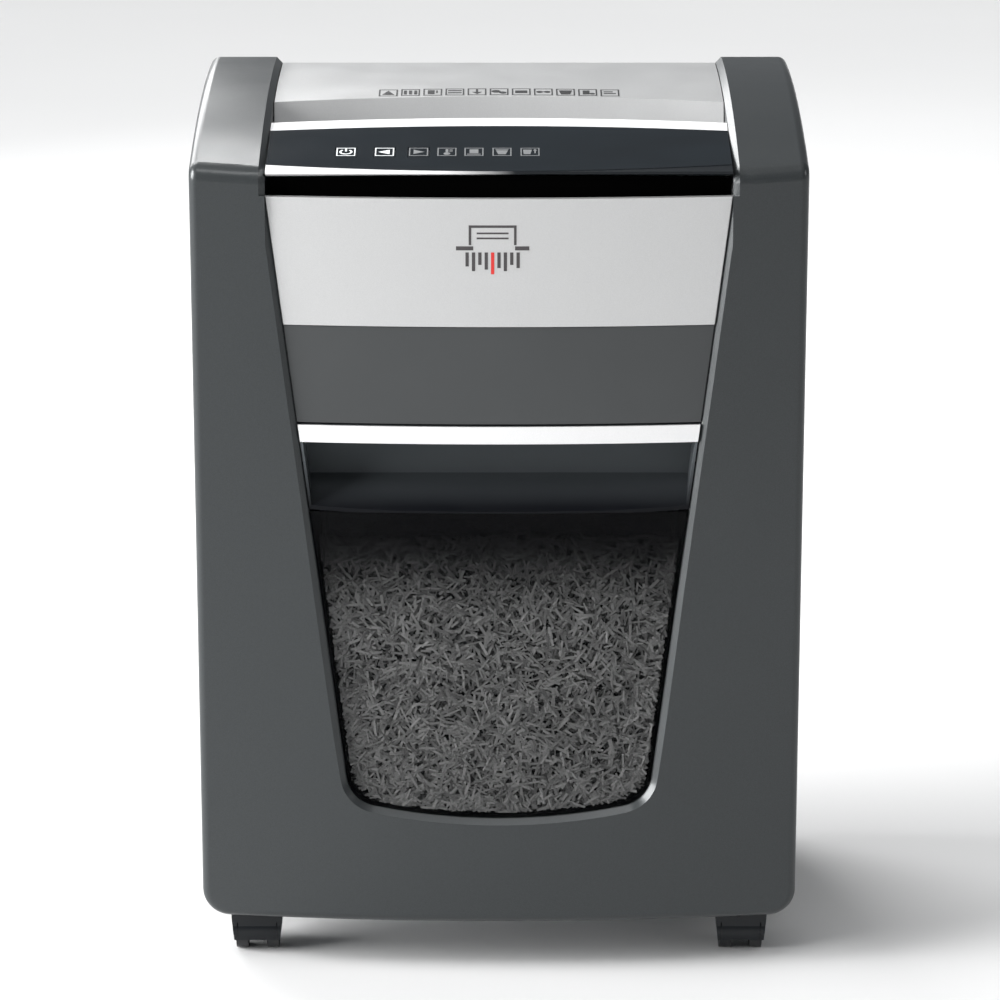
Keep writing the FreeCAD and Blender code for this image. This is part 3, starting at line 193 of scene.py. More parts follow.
INK_DEPTH = 0.02  # how far a mark reaches into the surface that carries it
INK_HEIGHT = 0.12  # how far it stands above that surface


def inlay(name, outlines, place, body, material):
    """A thin printed or inlaid mark made of several outlines."""
    bm = bmesh.new()
    for outline in outlines:
        add_prism(bm, outline, place, -INK_DEPTH, INK_HEIGHT)
    obj = new_object(name, bm, body)
    obj.data.materials.append(material)


# ------------------------------------------------------------------ materials


class Nodes:
    """A new material's node tree, with short calls for the nodes used here."""

    def __init__(self, name):
        self.material = bpy.data.materials.new(name)
        self.material.use_nodes = True
        self.tree = self.material.node_tree
        self.shader = self.tree.nodes["Principled BSDF"]

    def node(self, kind, **inputs):
        """A new node with some of its inputs set, an underscore standing for a space."""
        made = self.tree.nodes.new(kind)
        for name, value in inputs.items():
            made.inputs[name.replace("_", " ")].default_value = value
        return made

    def link(self, source, output, target, target_input):
        """Joins one node's output to another's input."""
        self.tree.links.new(source.outputs[output], target.inputs[target_input])

    def place(self, stretch=(1, 1, 1)):
        """Object coordinates, stretched."""
        coordinates = self.node("ShaderNodeTexCoord")
        mapping = self.node("ShaderNodeMapping", Scale=stretch)
        self.link(coordinates, "Object", mapping, "Vector")
        return mapping

    def along(self, axis, start, end, low=0.0, high=1.0):
        """A value that goes from low to high between two places on an axis."""
        split = self.node("ShaderNodeSeparateXYZ")
        made = self.node("ShaderNodeMapRange", From_Min=start, From_Max=end, To_Min=low, To_Max=high)
        self.link(self.place(), "Vector", split, "Vector")
        self.link(split, axis, made, "Value")
        return made

    def noise(self, scale, detail, stretch=(1, 1, 1)):
        """Soft uneven patches."""
        made = self.node("ShaderNodeTexNoise", Scale=scale, Detail=detail)
        self.link(self.place(stretch), "Vector", made, "Vector")
        return made

    def cells(self, scale):
        """Grains: the distance to the nearest of many scattered points."""
        made = self.node("ShaderNodeTexVoronoi", Scale=scale)
        self.link(self.place(), "Vector", made, "Vector")
        return made

    def ramp(self, source, output, low, high, start=0.3, end=0.7):
        """Two colours across a texture's values."""
        made = self.node("ShaderNodeValToRGB")
        made.color_ramp.elements[0].position = start
        made.color_ramp.elements[1].position = end
        made.color_ramp.elements[0].color = (*low, 1)
        made.color_ramp.elements[1].color = (*high, 1)
        self.link(source, output, made, "Fac")
        return made

    def spread(self, source, output, low, high, target):
        """A texture's values as a range, into one of the shader's numbers."""
        made = self.node("ShaderNodeMapRange", From_Min=0.3, From_Max=0.7, To_Min=low, To_Max=high)
        self.link(source, output, made, "Value")
        self.link(made, "Result", self.shader, target)

    def bump(self, source, output, strength, distance, below=None):
        """Relief from a texture, over another relief if one is given."""
        made = self.node("ShaderNodeBump", Strength=strength, Distance=distance)
        self.link(source, output, made, "Height")
        if below is not None:
            self.link(below, "Normal", made, "Normal")
        self.link(made, "Normal", self.shader, "Normal")
        return made

    def set(self, **values):
        """Sets numbers of the shader that are the same all over."""
        for name, value in values.items():
            self.shader.inputs[name.replace("_", " ")].default_value = value


def tinted(colour, share):
    """A colour made darker or brighter."""
    return tuple(min(1.0, c * share) for c in colour)


def moulded_plastic(name, colour, rough, grain=0.05, specular=0.5):
    """Moulded plastic: a fine spark-eroded grain, faint colour flow and uneven gloss."""
    made = Nodes(name)
    flow = made.noise(9, 4)
    tone = made.ramp(flow, "Fac", tinted(colour, 0.93), tinted(colour, 1.07))
    made.link(tone, "Color", made.shader, "Base Color")
    made.spread(made.noise(60, 3), "Fac", rough * 0.9, rough * 1.12, "Roughness")
    made.bump(made.cells(1700), "Distance", grain, 0.0002)
    made.set(Specular_IOR_Level=specular)
    return made.material


def recess_with_painted_shade(name, deep, edge):
    """Dark moulding with painted shade: it gets blacker towards the bottom of the finger pocket and paler
    towards its top.
    """
    made = Nodes(name)
    tone = made.ramp(made.along("Z", *POCKET_HEIGHTS), "Result", deep, edge, 0.0, 1.0)
    made.link(tone, "Color", made.shader, "Base Color")
    made.spread(made.noise(60, 3), "Fac", 0.38, 0.48, "Roughness")
    made.bump(made.cells(1700), "Distance", 0.05, 0.0002)
    made.set(Specular_IOR_Level=0.15)
    return made.material


def metallic_paint(name, colour, rough, flake, metallic, coat, specular=0.5):
    """Sprayed metallic lacquer: fine flakes, a soft orange peel and a clear coat."""
    made = Nodes(name)
    bright_flake = tinted(colour, 1 + flake)
    dark_flake = tinted(colour, 1 - flake)
    tone = made.ramp(made.cells(2600), "Distance", bright_flake, dark_flake, 0.1, 0.6)
    made.link(tone, "Color", made.shader, "Base Color")
    made.spread(made.noise(35, 4), "Fac", rough * 0.92, rough * 1.1, "Roughness")
    peel = made.bump(made.noise(420, 2), "Fac", 0.03, 0.0004)
    made.bump(made.noise(2400, 2), "Fac", 0.03, 0.0002, below=peel)
    made.set(Metallic=metallic, Specular_IOR_Level=specular)
    made.set(Coat_Weight=coat, Coat_Roughness=0.18, Coat_IOR=1.5)
    return made.material


def bezel_lacquer_with_painted_shade(name, colour, shade):
    """Bright lacquer for the bezel, with painted shade: its low lip in front of the lens is painted dark in
    its right half.
    """
    made = Nodes(name)
    share = made.node("ShaderNodeMath")
    share.operation = "MAXIMUM"
    made.link(made.along("X", *LIP_FADE, low=1.0, high=0.0), "Result", share, 0)
    made.link(made.along("Z", *LIP_TOP), "Result", share, 1)
    tone = made.ramp(share, "Value", shade, colour, 0.0, 1.0)
    made.link(tone, "Color", made.shader, "Base Color")
    made.spread(made.noise(35, 4), "Fac", 0.28, 0.34, "Roughness")
    made.bump(made.noise(2400, 2), "Fac", 0.03, 0.0002)
    made.set(Specular_IOR_Level=0.2)
    return made.material


def polished_plastic(name, colour):
    """High-gloss black moulding with a few hairline scratches and smears."""
    made = Nodes(name)
    smear = made.noise(14, 5, (1, 2, 1))
    tone = made.ramp(smear, "Fac", tinted(colour, 0.85), tinted(colour, 1.2))
    made.link(tone, "Color", made.shader, "Base Color")
    made.spread(made.noise(40, 6), "Fac", 0.1, 0.14, "Roughness")
    made.bump(made.noise(900, 3), "Fac", 0.01, 0.00005)
    made.set(Specular_IOR_Level=0.3)
    return made.material


def sheet_steel(name, colour, rough, spangle):
    """Zinc-plated sheet: large dull crystals under fine rolling marks."""
    made = Nodes(name)
    crystals = made.cells(spangle)
    tone = made.ramp(crystals, "Distance", tinted(colour, 0.82), tinted(colour, 1.1), 0.0, 0.7)
    made.link(tone, "Color", made.shader, "Base Color")
    made.spread(made.noise(30, 4), "Fac", rough * 0.85, rough * 1.2, "Roughness")
    made.bump(made.noise(500, 3, (1, 12, 12)), "Fac", 0.08, 0.0001)
    made.set(Metallic=1.0)
    return made.material


def turned_steel(name, colour, rough, marks=900):
    """Machined steel: rings of tool marks, with an oil film that dulls it in patches."""
    made = Nodes(name)
    oil = made.noise(26, 5)
    tone = made.ramp(oil, "Fac", tinted(colour, 0.7), tinted(colour, 1.08))
    made.link(tone, "Color", made.shader, "Base Color")
    made.spread(oil, "Fac", rough * 0.8, rough * 1.3, "Roughness")
    made.bump(made.noise(marks, 2, (6, 0.4, 0.4)), "Fac", 0.12, 0.0001)
    made.set(Metallic=1.0)
    return made.material


def wheel_rubber(name):
    """Castor tread: dull rubber, paler with floor dust in its pores."""
    made = Nodes(name)
    dust = made.noise(120, 6)
    tone = made.ramp(dust, "Fac", (0.005, 0.006, 0.008), (0.03, 0.029, 0.028), 0.45, 0.8)
    made.link(tone, "Color", made.shader, "Base Color")
    made.spread(dust, "Fac", 0.45, 0.75, "Roughness")
    made.bump(made.noise(900, 4), "Fac", 0.15, 0.0002)
    return made.material


def board_resin(name):
    """Circuit board: green resist over a faint grid of tracks."""
    made = Nodes(name)
    tracks = made.node("ShaderNodeTexBrick", Scale=120, Mortar_Size=0.03)
    tracks.inputs["Color1"].default_value = (0.01, 0.09, 0.03, 1)
    tracks.inputs["Color2"].default_value = (0.012, 0.11, 0.04, 1)
    tracks.inputs["Mortar"].default_value = (0.05, 0.2, 0.08, 1)
    made.link(made.place(), "Vector", tracks, "Vector")
    made.link(tracks, "Color", made.shader, "Base Color")
    made.spread(made.noise(200, 3), "Fac", 0.3, 0.45, "Roughness")
    made.bump(tracks, "Fac", 0.2, 0.0001)
    return made.material


def smoked_clear(name):
    """Smoked clear plastic, tinted more deeply at its top, with faint dust and hairlines."""
    made = Nodes(name)
    haze = made.noise(18, 5)
    tone = made.ramp(haze, "Fac", (0.0015, 0.0017, 0.002), (0.003, 0.0032, 0.0036))
    made.link(tone, "Color", made.shader, "Base Color")
    made.spread(made.noise(90, 5), "Fac", 0.06, 0.13, "Roughness")
    made.bump(made.noise(400, 4, (1, 1, 9)), "Fac", 0.01, 0.0001)
    tint = made.along("Z", *SMOKE_HEIGHTS, *SMOKE)
    made.link(tint, "Result", made.shader, "Alpha")
    made.set(Specular_IOR_Level=0.06)
    return made.material


def cut_paper(name):
    """Office paper: off-white with a fibrous grain, each strip as dark as its stored shade, which holds its
    own tone and painted shade.
    """
    made = Nodes(name)
    fibre = made.noise(1400, 4)
    shade = made.node("ShaderNodeAttribute")
    shade.attribute_name = "strip_shade"
    tone = made.ramp(shade, "Fac", (0.015, 0.015, 0.017), (0.88, 0.88, 0.87), 0.0, 1.0)
    mix = made.node("ShaderNodeMixRGB", Fac=0.35)
    mix.blend_type = "MULTIPLY"
    grain = made.ramp(fibre, "Fac", (0.75, 0.75, 0.75), (1, 1, 1))
    made.link(tone, "Color", mix, "Color1")
    made.link(grain, "Color", mix, "Color2")
    made.link(mix, "Color", made.shader, "Base Color")
    made.spread(fibre, "Fac", 0.75, 0.95, "Roughness")
    made.bump(fibre, "Fac", 0.2, 0.0001)
    return made.material


def printed_ink(name, colour):
    """Screen-printed ink: matt, with a slightly uneven film."""
    made = Nodes(name)
    film = made.noise(900, 3)
    tone = made.ramp(film, "Fac", tinted(colour, 0.88), tinted(colour, 1.08))
    made.link(tone, "Color", made.shader, "Base Color")
    made.spread(film, "Fac", 0.405, 0.495, "Roughness")
    made.bump(film, "Fac", 0.05, 0.00005)
    return made.material


def floor_surface(name):
    """Pale matt studio floor."""
    made = Nodes(name)
    patch = made.noise(1.5, 3)
    tone = made.ramp(patch, "Fac", (0.745, 0.745, 0.745), (0.76, 0.76, 0.76))
    made.link(tone, "Color", made.shader, "Base Color")
    made.set(Roughness=0.9, Specular_IOR_Level=0.1)
    return made.material


# Where the finishes change over a piece, in metres on the object.
# The finger pocket's painted shade runs between these heights.
POCKET_HEIGHTS = (0.316, 0.36)  # from the finger pocket's black bottom to its paler top
# Where the bezel's painted shade lies.
LIP_FADE = (-0.035, 0.01)  # where the bezel's lip goes from bright to dark, from left to right
LIP_TOP = (0.538, 0.5385)  # the bezel is bright all along above this height
SMOKE_HEIGHTS = (0.278, 0.312)  # where the window's tint deepens
SMOKE = (0.37, 0.8)  # how much of the light it stops below and above

CHARCOAL = (0.041, 0.0455, 0.0475)
WARM_CHARCOAL = (0.056, 0.059, 0.0605)
# The finger pocket's painted shade: black at its bottom, a painted light grey at its top.
POCKET_PAINTED_SHADE = (0.002, 0.0025, 0.004)
POCKET_PAINTED_LIGHT = (0.11, 0.122, 0.13)
UNDERCUT_SHADE_BLACK = (0.001, 0.001, 0.001)
SILVER = (0.575, 0.577, 0.577)
BRIGHT_SILVER = (0.8, 0.8, 0.8)
LIP_PAINTED_SHADE = (0.008, 0.01, 0.012)
LENS_BLACK = (0.006, 0.009, 0.012)
MOULDED_BLACK = (0.016, 0.016, 0.017)
HOOD_BLACK = (0.006, 0.0075, 0.0095)
ZINC = (0.55, 0.56, 0.57)
STEEL = (0.56, 0.56, 0.57)
DARK_STEEL = (0.34, 0.345, 0.36)
GREASED_STEEL = (0.42, 0.41, 0.39)
BRONZE = (0.5, 0.3, 0.13)
MOTOR_GREY = (0.3, 0.3, 0.31)

# One finish for each material slot of the CAD model, and one for the bezel alone.
FINISHES = {
    "charcoal_paint": metallic_paint(
        "charcoal_lacquer", CHARCOAL, rough=0.3, flake=0.2, metallic=0.25, coat=0.2, specular=0.3
    ),
    "charcoal_plastic": moulded_plastic("charcoal_moulding", WARM_CHARCOAL, rough=0.42, specular=0.25),
    "dark_plastic": recess_with_painted_shade("recess_painted_shade", POCKET_PAINTED_SHADE, POCKET_PAINTED_LIGHT),
    # The black plastic band under the silver panel, made matt and blacker than its plastic as painted shade
    # of its undercut.
    "recess_black": moulded_plastic("recess_black", UNDERCUT_SHADE_BLACK, rough=0.9, specular=0.0),
    "silver_plastic": metallic_paint(
        "silver_lacquer", SILVER, rough=0.32, flake=0.06, metallic=0.45, coat=0.2
    ),
    "bright_silver": metallic_paint(
        "bright_lacquer", BRIGHT_SILVER, rough=0.3, flake=0.04, metallic=0.15, coat=0.3
    ),
    "bezel": bezel_lacquer_with_painted_shade("bezel_lacquer_with_painted_shade", BRIGHT_SILVER, LIP_PAINTED_SHADE),
    "black_gloss": polished_plastic("black_gloss", LENS_BLACK),
    "black_plastic": moulded_plastic("black_moulding", MOULDED_BLACK, rough=0.5, grain=0.08),
    "castor_hood_plastic": moulded_plastic("castor_hood", HOOD_BLACK, rough=0.3, grain=0.04, specular=0.3),
    "castor_wheel_rubber": wheel_rubber("castor_rubber"),
    "galvanised_steel": sheet_steel("galvanised", ZINC, rough=0.38, spangle=90),
    "turned_steel": turned_steel("turned", STEEL, rough=0.28),
    "hardened_steel": turned_steel("hardened", DARK_STEEL, rough=0.33, marks=1400),
    "gear_steel": turned_steel("greased_gear", GREASED_STEEL, rough=0.36, marks=700),
    "bronze": turned_steel("sintered_bronze", BRONZE, rough=0.45, marks=1100),
    "motor_can": sheet_steel("motor_can", MOTOR_GREY, rough=0.45, spangle=200),
    "circuit_board": board_resin("board_resin"),
    "smoked_window": smoked_clear("smoked_clear"),
    "paper_shreds": cut_paper("cut_paper"),
}


def dress_nodes():
    """Gives every CAD node its slot's finish, and the control panel's bezel its own."""
    slot_of = {entry["node"]: entry["material_slot"] for entry in frame["record"]["subparts"]}
    for name, obj in frame["nodes"].items():
        finish = "bezel" if name == "control_bezel" else slot_of[name]
        obj.data.materials.clear()
        obj.data.materials.append(FINISHES[finish])


# ------------------------------------------------------------------ shredded paper

WINDOW_GAP = 2.2  # from the opening's edge to the heap's edge behind the window
TUB_GAP = 6.4  # from the opening's edge to the heap's edge inside the tub
HEAP_SEED = 7
STRIP_THICK = 0.12

# Strips pressed against the window: each layer's depth behind the bow, its number of strips, and the range of
# their shades, the deeper layers darker as painted shade.
# A strip's length, width and curl are drawn from the ranges below.
WINDOW_LAYERS = ((7.8, 4600, 0.4, 0.95), (9.4, 4800, 0.12, 0.6), (11.2, 3600, 0.0, 0.25))
PRESSED_LENGTH = (5, 13)
PRESSED_WIDTH = (1.0, 1.9)
PRESSED_CURL = (-0.5, 0.5)
PRESSED_FLOOR = 0.6  # how far their ends keep from the bin's floor
PRESSED_SIDE = 1.5  # and from its sides
# Painted shade under the finger pocket: the uppermost strips pressed against the window are made darker.
SHADE_ABOVE = 0.85  # how much darker the uppermost strips are than the others
SHADE_START = 66  # how far below the heap's top they start to get darker
SHADE_REACH = 50  # over what height they do

# Strips lying loose on top.
LOOSE_COUNT = 3200
LOOSE_LENGTH = (8, 17)
LOOSE_WIDTH = (1.4, 2.6)
LOOSE_CURL = (-0.8, 0.8)
LOOSE_SIDE = 9  # how far their middles keep from the tub's sides
LOOSE_FRONT = 24  # from the front
LOOSE_BACK = 12  # and from the heap's back
# Painted shade: the loose strips near the front are made dark.
DIM_FRONT = 60  # up to this far behind the front they are dark, so that none shows through the window
DIM_REACH = 40  # over what depth they get brighter
DIMMEST = 0.06

# The core, painted shade: a dark block behind and under the strips, a shallow part behind the window and a
# deep part in the tub.
CORE_COLUMNS = 24
FRONT_CORE = 12.9  # how far behind the bow the first part starts
CORE_STEP = 13.8  # how far behind the bow it ends
REAR_CORE = 14.2  # how far behind the bow the second part starts
FRONT_CORE_DROP = 9  # how far the first part's top lies below the heap's
REAR_CORE_DROP = 10


def half_width(z, gap):
    """Half the bin's inner width at height z."""
    return OPEN_HALF - gap - TAPER * (TAPER_TOP - z)


def floor_height(x, gap):
    """The bin's bowed floor at x, with its rounded corners."""
    into_corner = min(SILL_CORNER, max(0.0, abs(x) - half_width(SILL, gap) + SILL_CORNER))
    rise = SILL_CORNER - math.sqrt(SILL_CORNER**2 - into_corner**2)
    return SILL + gap + SILL_BOW - math.sqrt(SILL_BOW**2 - x**2) + rise


def add_strip(bm, shade_layer, centre, along, across, length, width, curl, shade):
    """One curled strip of paper as a thin closed solid."""
    normal = along.cross(across).normalized()
    half_across = across * (width / 2)
    half_thick = normal * (STRIP_THICK / 2)
    rings = []
    for t in (-0.5, -0.15, 0.15, 0.5):
        middle = centre + along * (t * length) + normal * (curl * (1 - 4 * t * t))
        rings.append(
            [
                bm.verts.new((middle + half_across * side + half_thick * face) * MM)
                for side, face in ((-1, -1), (1, -1), (1, 1), (-1, 1))
            ]
        )
    faces = [bm.faces.new(rings[0][::-1]), bm.faces.new(rings[-1])]
    for a, b in zip(rings, rings[1:]):
        for k in range(4):
            m = (k + 1) % 4
            faces.append(bm.faces.new((a[k], a[m], b[m], b[k])))
    tint_faces(faces, shade_layer, shade)


def tint_faces(faces, shade_layer, shade):
    """Stores one shade on every corner of some faces."""
    for face in faces:
        for loop in face.loops:
            loop[shade_layer] = (shade, shade, shade, 1)


def square_to(direction, towards, rng, wobble):
    """A unit vector square to direction, tipped a little towards another one."""
    side = direction.cross(towards).normalized() + towards * rng.gauss(0, wobble)
    return (side - direction * side.dot(direction)).normalized()


def heap_top(x, y, low, high):
    """Height of the heap's surface."""
    wave = 0.5 + 0.25 * math.sin(x / 23 + 1.3) + 0.25 * math.sin(y / 17 + x / 41)
    return low + (high - low) * wave


def smooth(t):
    """Eases from 0 to 1 as t goes from 0 to 1."""
    t = max(0.0, min(1.0, t))
    return t * t * (3 - 2 * t)


def window_layer(bm, shade_layer, rng, top, layer):
    """One layer of strips pressed against the window."""
    inset, count, darkest, brightest = layer
    for _ in range(count):
        z = rng.uniform(SILL + 2, top)
        x = rng.uniform(-1, 1) * half_width(z, WINDOW_GAP)
        length = rng.uniform(*PRESSED_LENGTH)
        angle = rng.uniform(0, 2 * math.pi)
        direction = Vector((math.cos(angle), rng.gauss(0, 0.07), math.sin(angle))).normalized()
        z = max(z, floor_height(x, WINDOW_GAP) + PRESSED_FLOOR + abs(direction.z) * length / 2)
        edge = half_width(z, WINDOW_GAP) - abs(direction.x) * length / 2 - PRESSED_SIDE
        x = max(-edge, min(edge, x))
        shade = rng.uniform(darkest, brightest)
        # Painted shade towards the heap's top.
        shade *= 1 - SHADE_ABOVE * smooth((z - top + SHADE_START) / SHADE_REACH)
        side = square_to(direction, Vector((0, 1, 0)), rng, 0.25)
        width = rng.uniform(*PRESSED_WIDTH)
        curl = rng.uniform(*PRESSED_CURL)
        if z + abs(direction.z) * length / 2 > heap_top(x, 0, top - 6, top - 1):
            continue
        place = Vector((x, bow_y(x) + inset, z))
        add_strip(bm, shade_layer, place, direction, side, length, width, curl, shade)


def top_layer(bm, shade_layer, rng, top, back):
    """Strips lying loose on the heap."""
    for _ in range(LOOSE_COUNT):
        x = rng.uniform(-1, 1) * (half_width(top, TUB_GAP) - LOOSE_SIDE)
        y = rng.uniform(FRONT_Y + LOOSE_FRONT, back - LOOSE_BACK)
        z = heap_top(x, y, top - 11, top - 4)
        angle = rng.uniform(0, 2 * math.pi)
        direction = Vector((math.cos(angle), math.sin(angle), rng.gauss(0, 0.2))).normalized()
        side = square_to(direction, Vector((0, 0, 1)), rng, 0.3)
        length = rng.uniform(*LOOSE_LENGTH)
        width = rng.uniform(*LOOSE_WIDTH)
        curl = rng.uniform(*LOOSE_CURL)
        shade = rng.uniform(0.25, 1)
        # Painted shade near the front.
        shade *= DIMMEST + (1 - DIMMEST) * smooth((y - FRONT_Y - DIM_FRONT) / DIM_REACH)
        add_strip(bm, shade_layer, Vector((x, y, z)), direction, side, length, width, curl, shade)


def paper_heap():
    """The heap: layers of loose curled strips round a dark core of painted shade."""
    _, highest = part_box("shredded_paper")
    top = highest[2] / MM
    back = highest[1] / MM
    rng = random.Random(HEAP_SEED)
    bm = bmesh.new()
    shade_layer = bm.loops.layers.float_color.new("strip_shade")
    for layer in WINDOW_LAYERS:
        window_layer(bm, shade_layer, rng, top, layer)
    top_layer(bm, shade_layer, rng, top, back)
    front_top = top - FRONT_CORE_DROP
    rear_top = top - REAR_CORE_DROP
    add_painted_shade_core(bm, shade_layer, front_top, WINDOW_GAP + 0.4, FRONT_CORE, lambda x: bow_y(x) + CORE_STEP)
    add_painted_shade_core(bm, shade_layer, rear_top, TUB_GAP + 0.5, REAR_CORE, lambda x: back - 1)
    obj = new_object("paper_heap", bm, "bin")
    obj.data.materials.append(FINISHES["paper_shreds"])
    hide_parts("shredded_paper")


def add_painted_shade_core(bm, shade_layer, top, gap, depth, back_at):
    """A closed block of painted shade behind the strips, from depth behind the bow to back_at(x)."""
    low_half = half_width(SILL + 20, gap)
    columns = [-low_half + 2 * low_half * i / CORE_COLUMNS for i in range(CORE_COLUMNS + 1)]
    outline = [(x, floor_height(x, gap)) for x in columns]
    outline += [(half_width(top, gap) * share, top) for share in (1, 0.5, 0, -0.5, -1)]
    front = [bm.verts.new(Vector((x, bow_y(x) + depth, z)) * MM) for x, z in outline]
    rear = [bm.verts.new(Vector((x, back_at(x), z)) * MM) for x, z in outline]
    faces = [bm.faces.new(front), bm.faces.new(rear[::-1])]
    for i in range(len(outline)):
        j = (i + 1) % len(outline)
        faces.append(bm.faces.new((front[j], front[i], rear[i], rear[j])))
    tint_faces(faces, shade_layer, 0.0)


# ------------------------------------------------------------------ pictograms

ICON_Y = -94.0  # the row of signs on the control panel
ICON_FRAME = (12.0, 13.5, 0.75)  # each frame's width, height and line
HEAT_X = -32.9
DOOR_X = -15.8
FULL_X = 1.9
REMOVED_X = 19.6

DECK_FRAME = (12.3, 15.5, 0.9)
DECK_FIRST_X = -72.6
DECK_PITCH = 14.53
DECK_Y = 20.5  # the middle of the row on the deck
DECK_ARC = 924.0  # radius of the row's arc

EMBLEM_X = -4
EMBLEM_Z = 486
STRIP_LENGTHS = (9, 12, 8, 11, 0, 10, 12, 8, 10)  # the emblem's strips; the gap takes the red one


# Each sign is a list of outlines about the middle of its box.


def power_sign():
    return arc_band(3.6, 1.2, 125, 415) + [rectangle(0, 3.1, 1.2, 4.6)]


def left_sign():
    return [[(3.2, -3.6), (3.2, 3.6), (-3.8, 0)]]


def right_sign():
    return [[(-3.2, 3.6), (-3.2, -3.6), (3.8, 0)]]


def heat_sign():
    bars = [rectangle(2.6, v, 2.0, 0.7) for v in (0.6, 2.2, 3.8)]
    return [rectangle(0, 1.4, 1.7, 6.4), disc(0, -2.9, 2.1)] + bars


def door_sign():
    return [rectangle(0, -3.9, 8.6, 1.2), rectangle(0, 1.0, 5.6, 6.6)]


def bin_sign():
    return [[(-2.4, -4), (2.4, -4), (3.8, 2.6), (-3.8, 2.6)], rectangle(0, 3.9, 8.2, 1.0)]


def bin_out_sign():
    bin_body = [(-4.0, -4), (0.2, -4), (1.2, 3.8), (-4.4, 3.8)]
    arrow_head = [(1.9, 2.4), (4.6, 2.4), (3.2, 4.9)]
    return [bin_body, arrow_head, rectangle(3.2, 0, 1.0, 4.6)]


def panel_icons(bright, dim):
    """The signs on the three keys and the four lamp signs on the lens."""
    keys = {"power_key": power_sign(), "reverse_key": left_sign(), "forward_key": right_sign()}
    for key, sign in keys.items():
        low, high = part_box(key)
        centre = (low[0] + high[0]) / 2 / MM
        marks = box_frame(*ICON_FRAME) + sign
        ink = dim if key == "forward_key" else bright
        inlay(key + "_sign", marks, on_panel(centre, ICON_Y), key, ink)
    lamps = {
        "heat_lamp_sign": (HEAT_X, heat_sign()),
        "door_lamp_sign": (DOOR_X, door_sign()),
        "full_lamp_sign": (FULL_X, bin_sign()),
        "removed_lamp_sign": (REMOVED_X, bin_out_sign()),
    }
    for name, (x, sign) in lamps.items():
        marks = box_frame(*ICON_FRAME) + sign
        inlay(name, marks, on_panel(x, ICON_Y), "cabinet", dim)


def deck_signs():
    """Eleven simple marks for the row of boxes on the deck."""
    sheet = rectangle(-1, 0, 4.5, 9)
    clip = rectangle(2.8, 1, 1, 6)
    return [
        [[(-4, -4.5), (4, -4.5), (0, 5)]],
        [rectangle(-3.4, 0, 2, 9), rectangle(0, 0, 2, 9), rectangle(3.4, 0, 2, 9)],
        [sheet, clip],
        [rectangle(0, 3, 9, 2), rectangle(0, -2, 9, 2)],
        [rectangle(0, 2, 1.4, 8), [(-3.2, -0.5), (0, -5), (3.2, -0.5)]],
        [disc(-2, 1, 3), disc(2.4, -2, 2.4)],
        [rectangle(0, 0, 8, 6)],
        [disc(-2.5, 0, 2.2), disc(2.5, 0, 2.2), rectangle(0, 0, 6, 1.4)],
        [[(-3, -5), (3, -5), (4.4, 4), (-4.4, 4)]],
        [sheet, disc(3, -3, 1.8)],
        [rectangle(-1, 2.5, 6, 1.6), rectangle(0, -1.5, 8, 1.6)],
    ]


def deck_row(ink):
    """The row of pictogram boxes on the deck, along its arched front edge."""
    for i, sign in enumerate(deck_signs()):
        x = DECK_FIRST_X + i * DECK_PITCH
        y = DECK_Y - x * x / (2 * DECK_ARC)
        marks = box_frame(*DECK_FRAME) + sign
        inlay(f"deck_sign_{i + 1:02d}", marks, on_deck(x, y), "cabinet", ink)


def front_emblem(ink, accent):
    """A sheet of paper above a slot, with the strips it turns into below."""
    place = on_fascia(EMBLEM_X, EMBLEM_Z)
    edges = [rectangle(side * 14.2, 7.6, 1.6, 11) for side in (-1, 1)]
    sheet = edges + [rectangle(0, 13.9, 30, 1.6)]
    lines = [rectangle(0, v, 20, 1.1) for v in (6.4, 9.6)]
    slot_bar = rectangle(0, 0, 46, 2.6)
    strips = [rectangle(-16 + 4 * i, -2.6 - h / 2, 2.1, h) for i, h in enumerate(STRIP_LENGTHS) if h]
    inlay("front_emblem", sheet + lines + [slot_bar] + strips, place, "cabinet", ink)
    inlay("front_emblem_accent", [rectangle(0, -9.6, 2.1, 14)], place, "cabinet", accent)


# ------------------------------------------------------------------ studio


FLOOR_REACH = 30  # metres
HEAD = (0, 0, 0.55)  # the lights face the object's head

WORLD_STRENGTH = 0.6
WORLD_SPAN = (0.68, 0.92)  # the world goes from dim to white between these, 0 being level and 1 overhead
WORLD_DIM = (0.32, 0.335, 0.35, 1)
WORLD_WHITE = (1, 1, 1, 1)

CAMERA_TARGET = Vector((0, -119.4, 318.7)) * MM
CAMERA_DISTANCE = 2.6892
CAMERA_PITCH = math.radians(15.8)
CAMERA_LENS = 151.2
CAMERA_SHIFT = 0.001


def studio_floor():
    """A wide flat floor that the castors stand on."""
    bm = bmesh.new()
    signs = ((-1, -1), (1, -1), (1, 1), (-1, 1))
    bm.faces.new([bm.verts.new((x * FLOOR_REACH, y * FLOOR_REACH, 0)) for x, y in signs])
    mesh = bpy.data.meshes.new("floor")
    bm.to_mesh(mesh)
    bm.free()
    obj = bpy.data.objects.new("floor", mesh)
    bpy.context.scene.collection.objects.link(obj)
    obj.data.materials.append(floor_surface("floor_surface"))


def area_light(name, place, wide, high, power):
    """A rectangular soft light that faces the object's head."""
    light = bpy.data.lights.new(name, "AREA")
    light.shape = "RECTANGLE"
    light.size = wide
    light.size_y = high
    light.energy = power
    obj = bpy.data.objects.new(name, light)
    obj.location = place
    obj.rotation_euler = (Vector(HEAD) - Vector(place)).to_track_quat("-Z", "Y").to_euler()
    bpy.context.scene.collection.objects.link(obj)


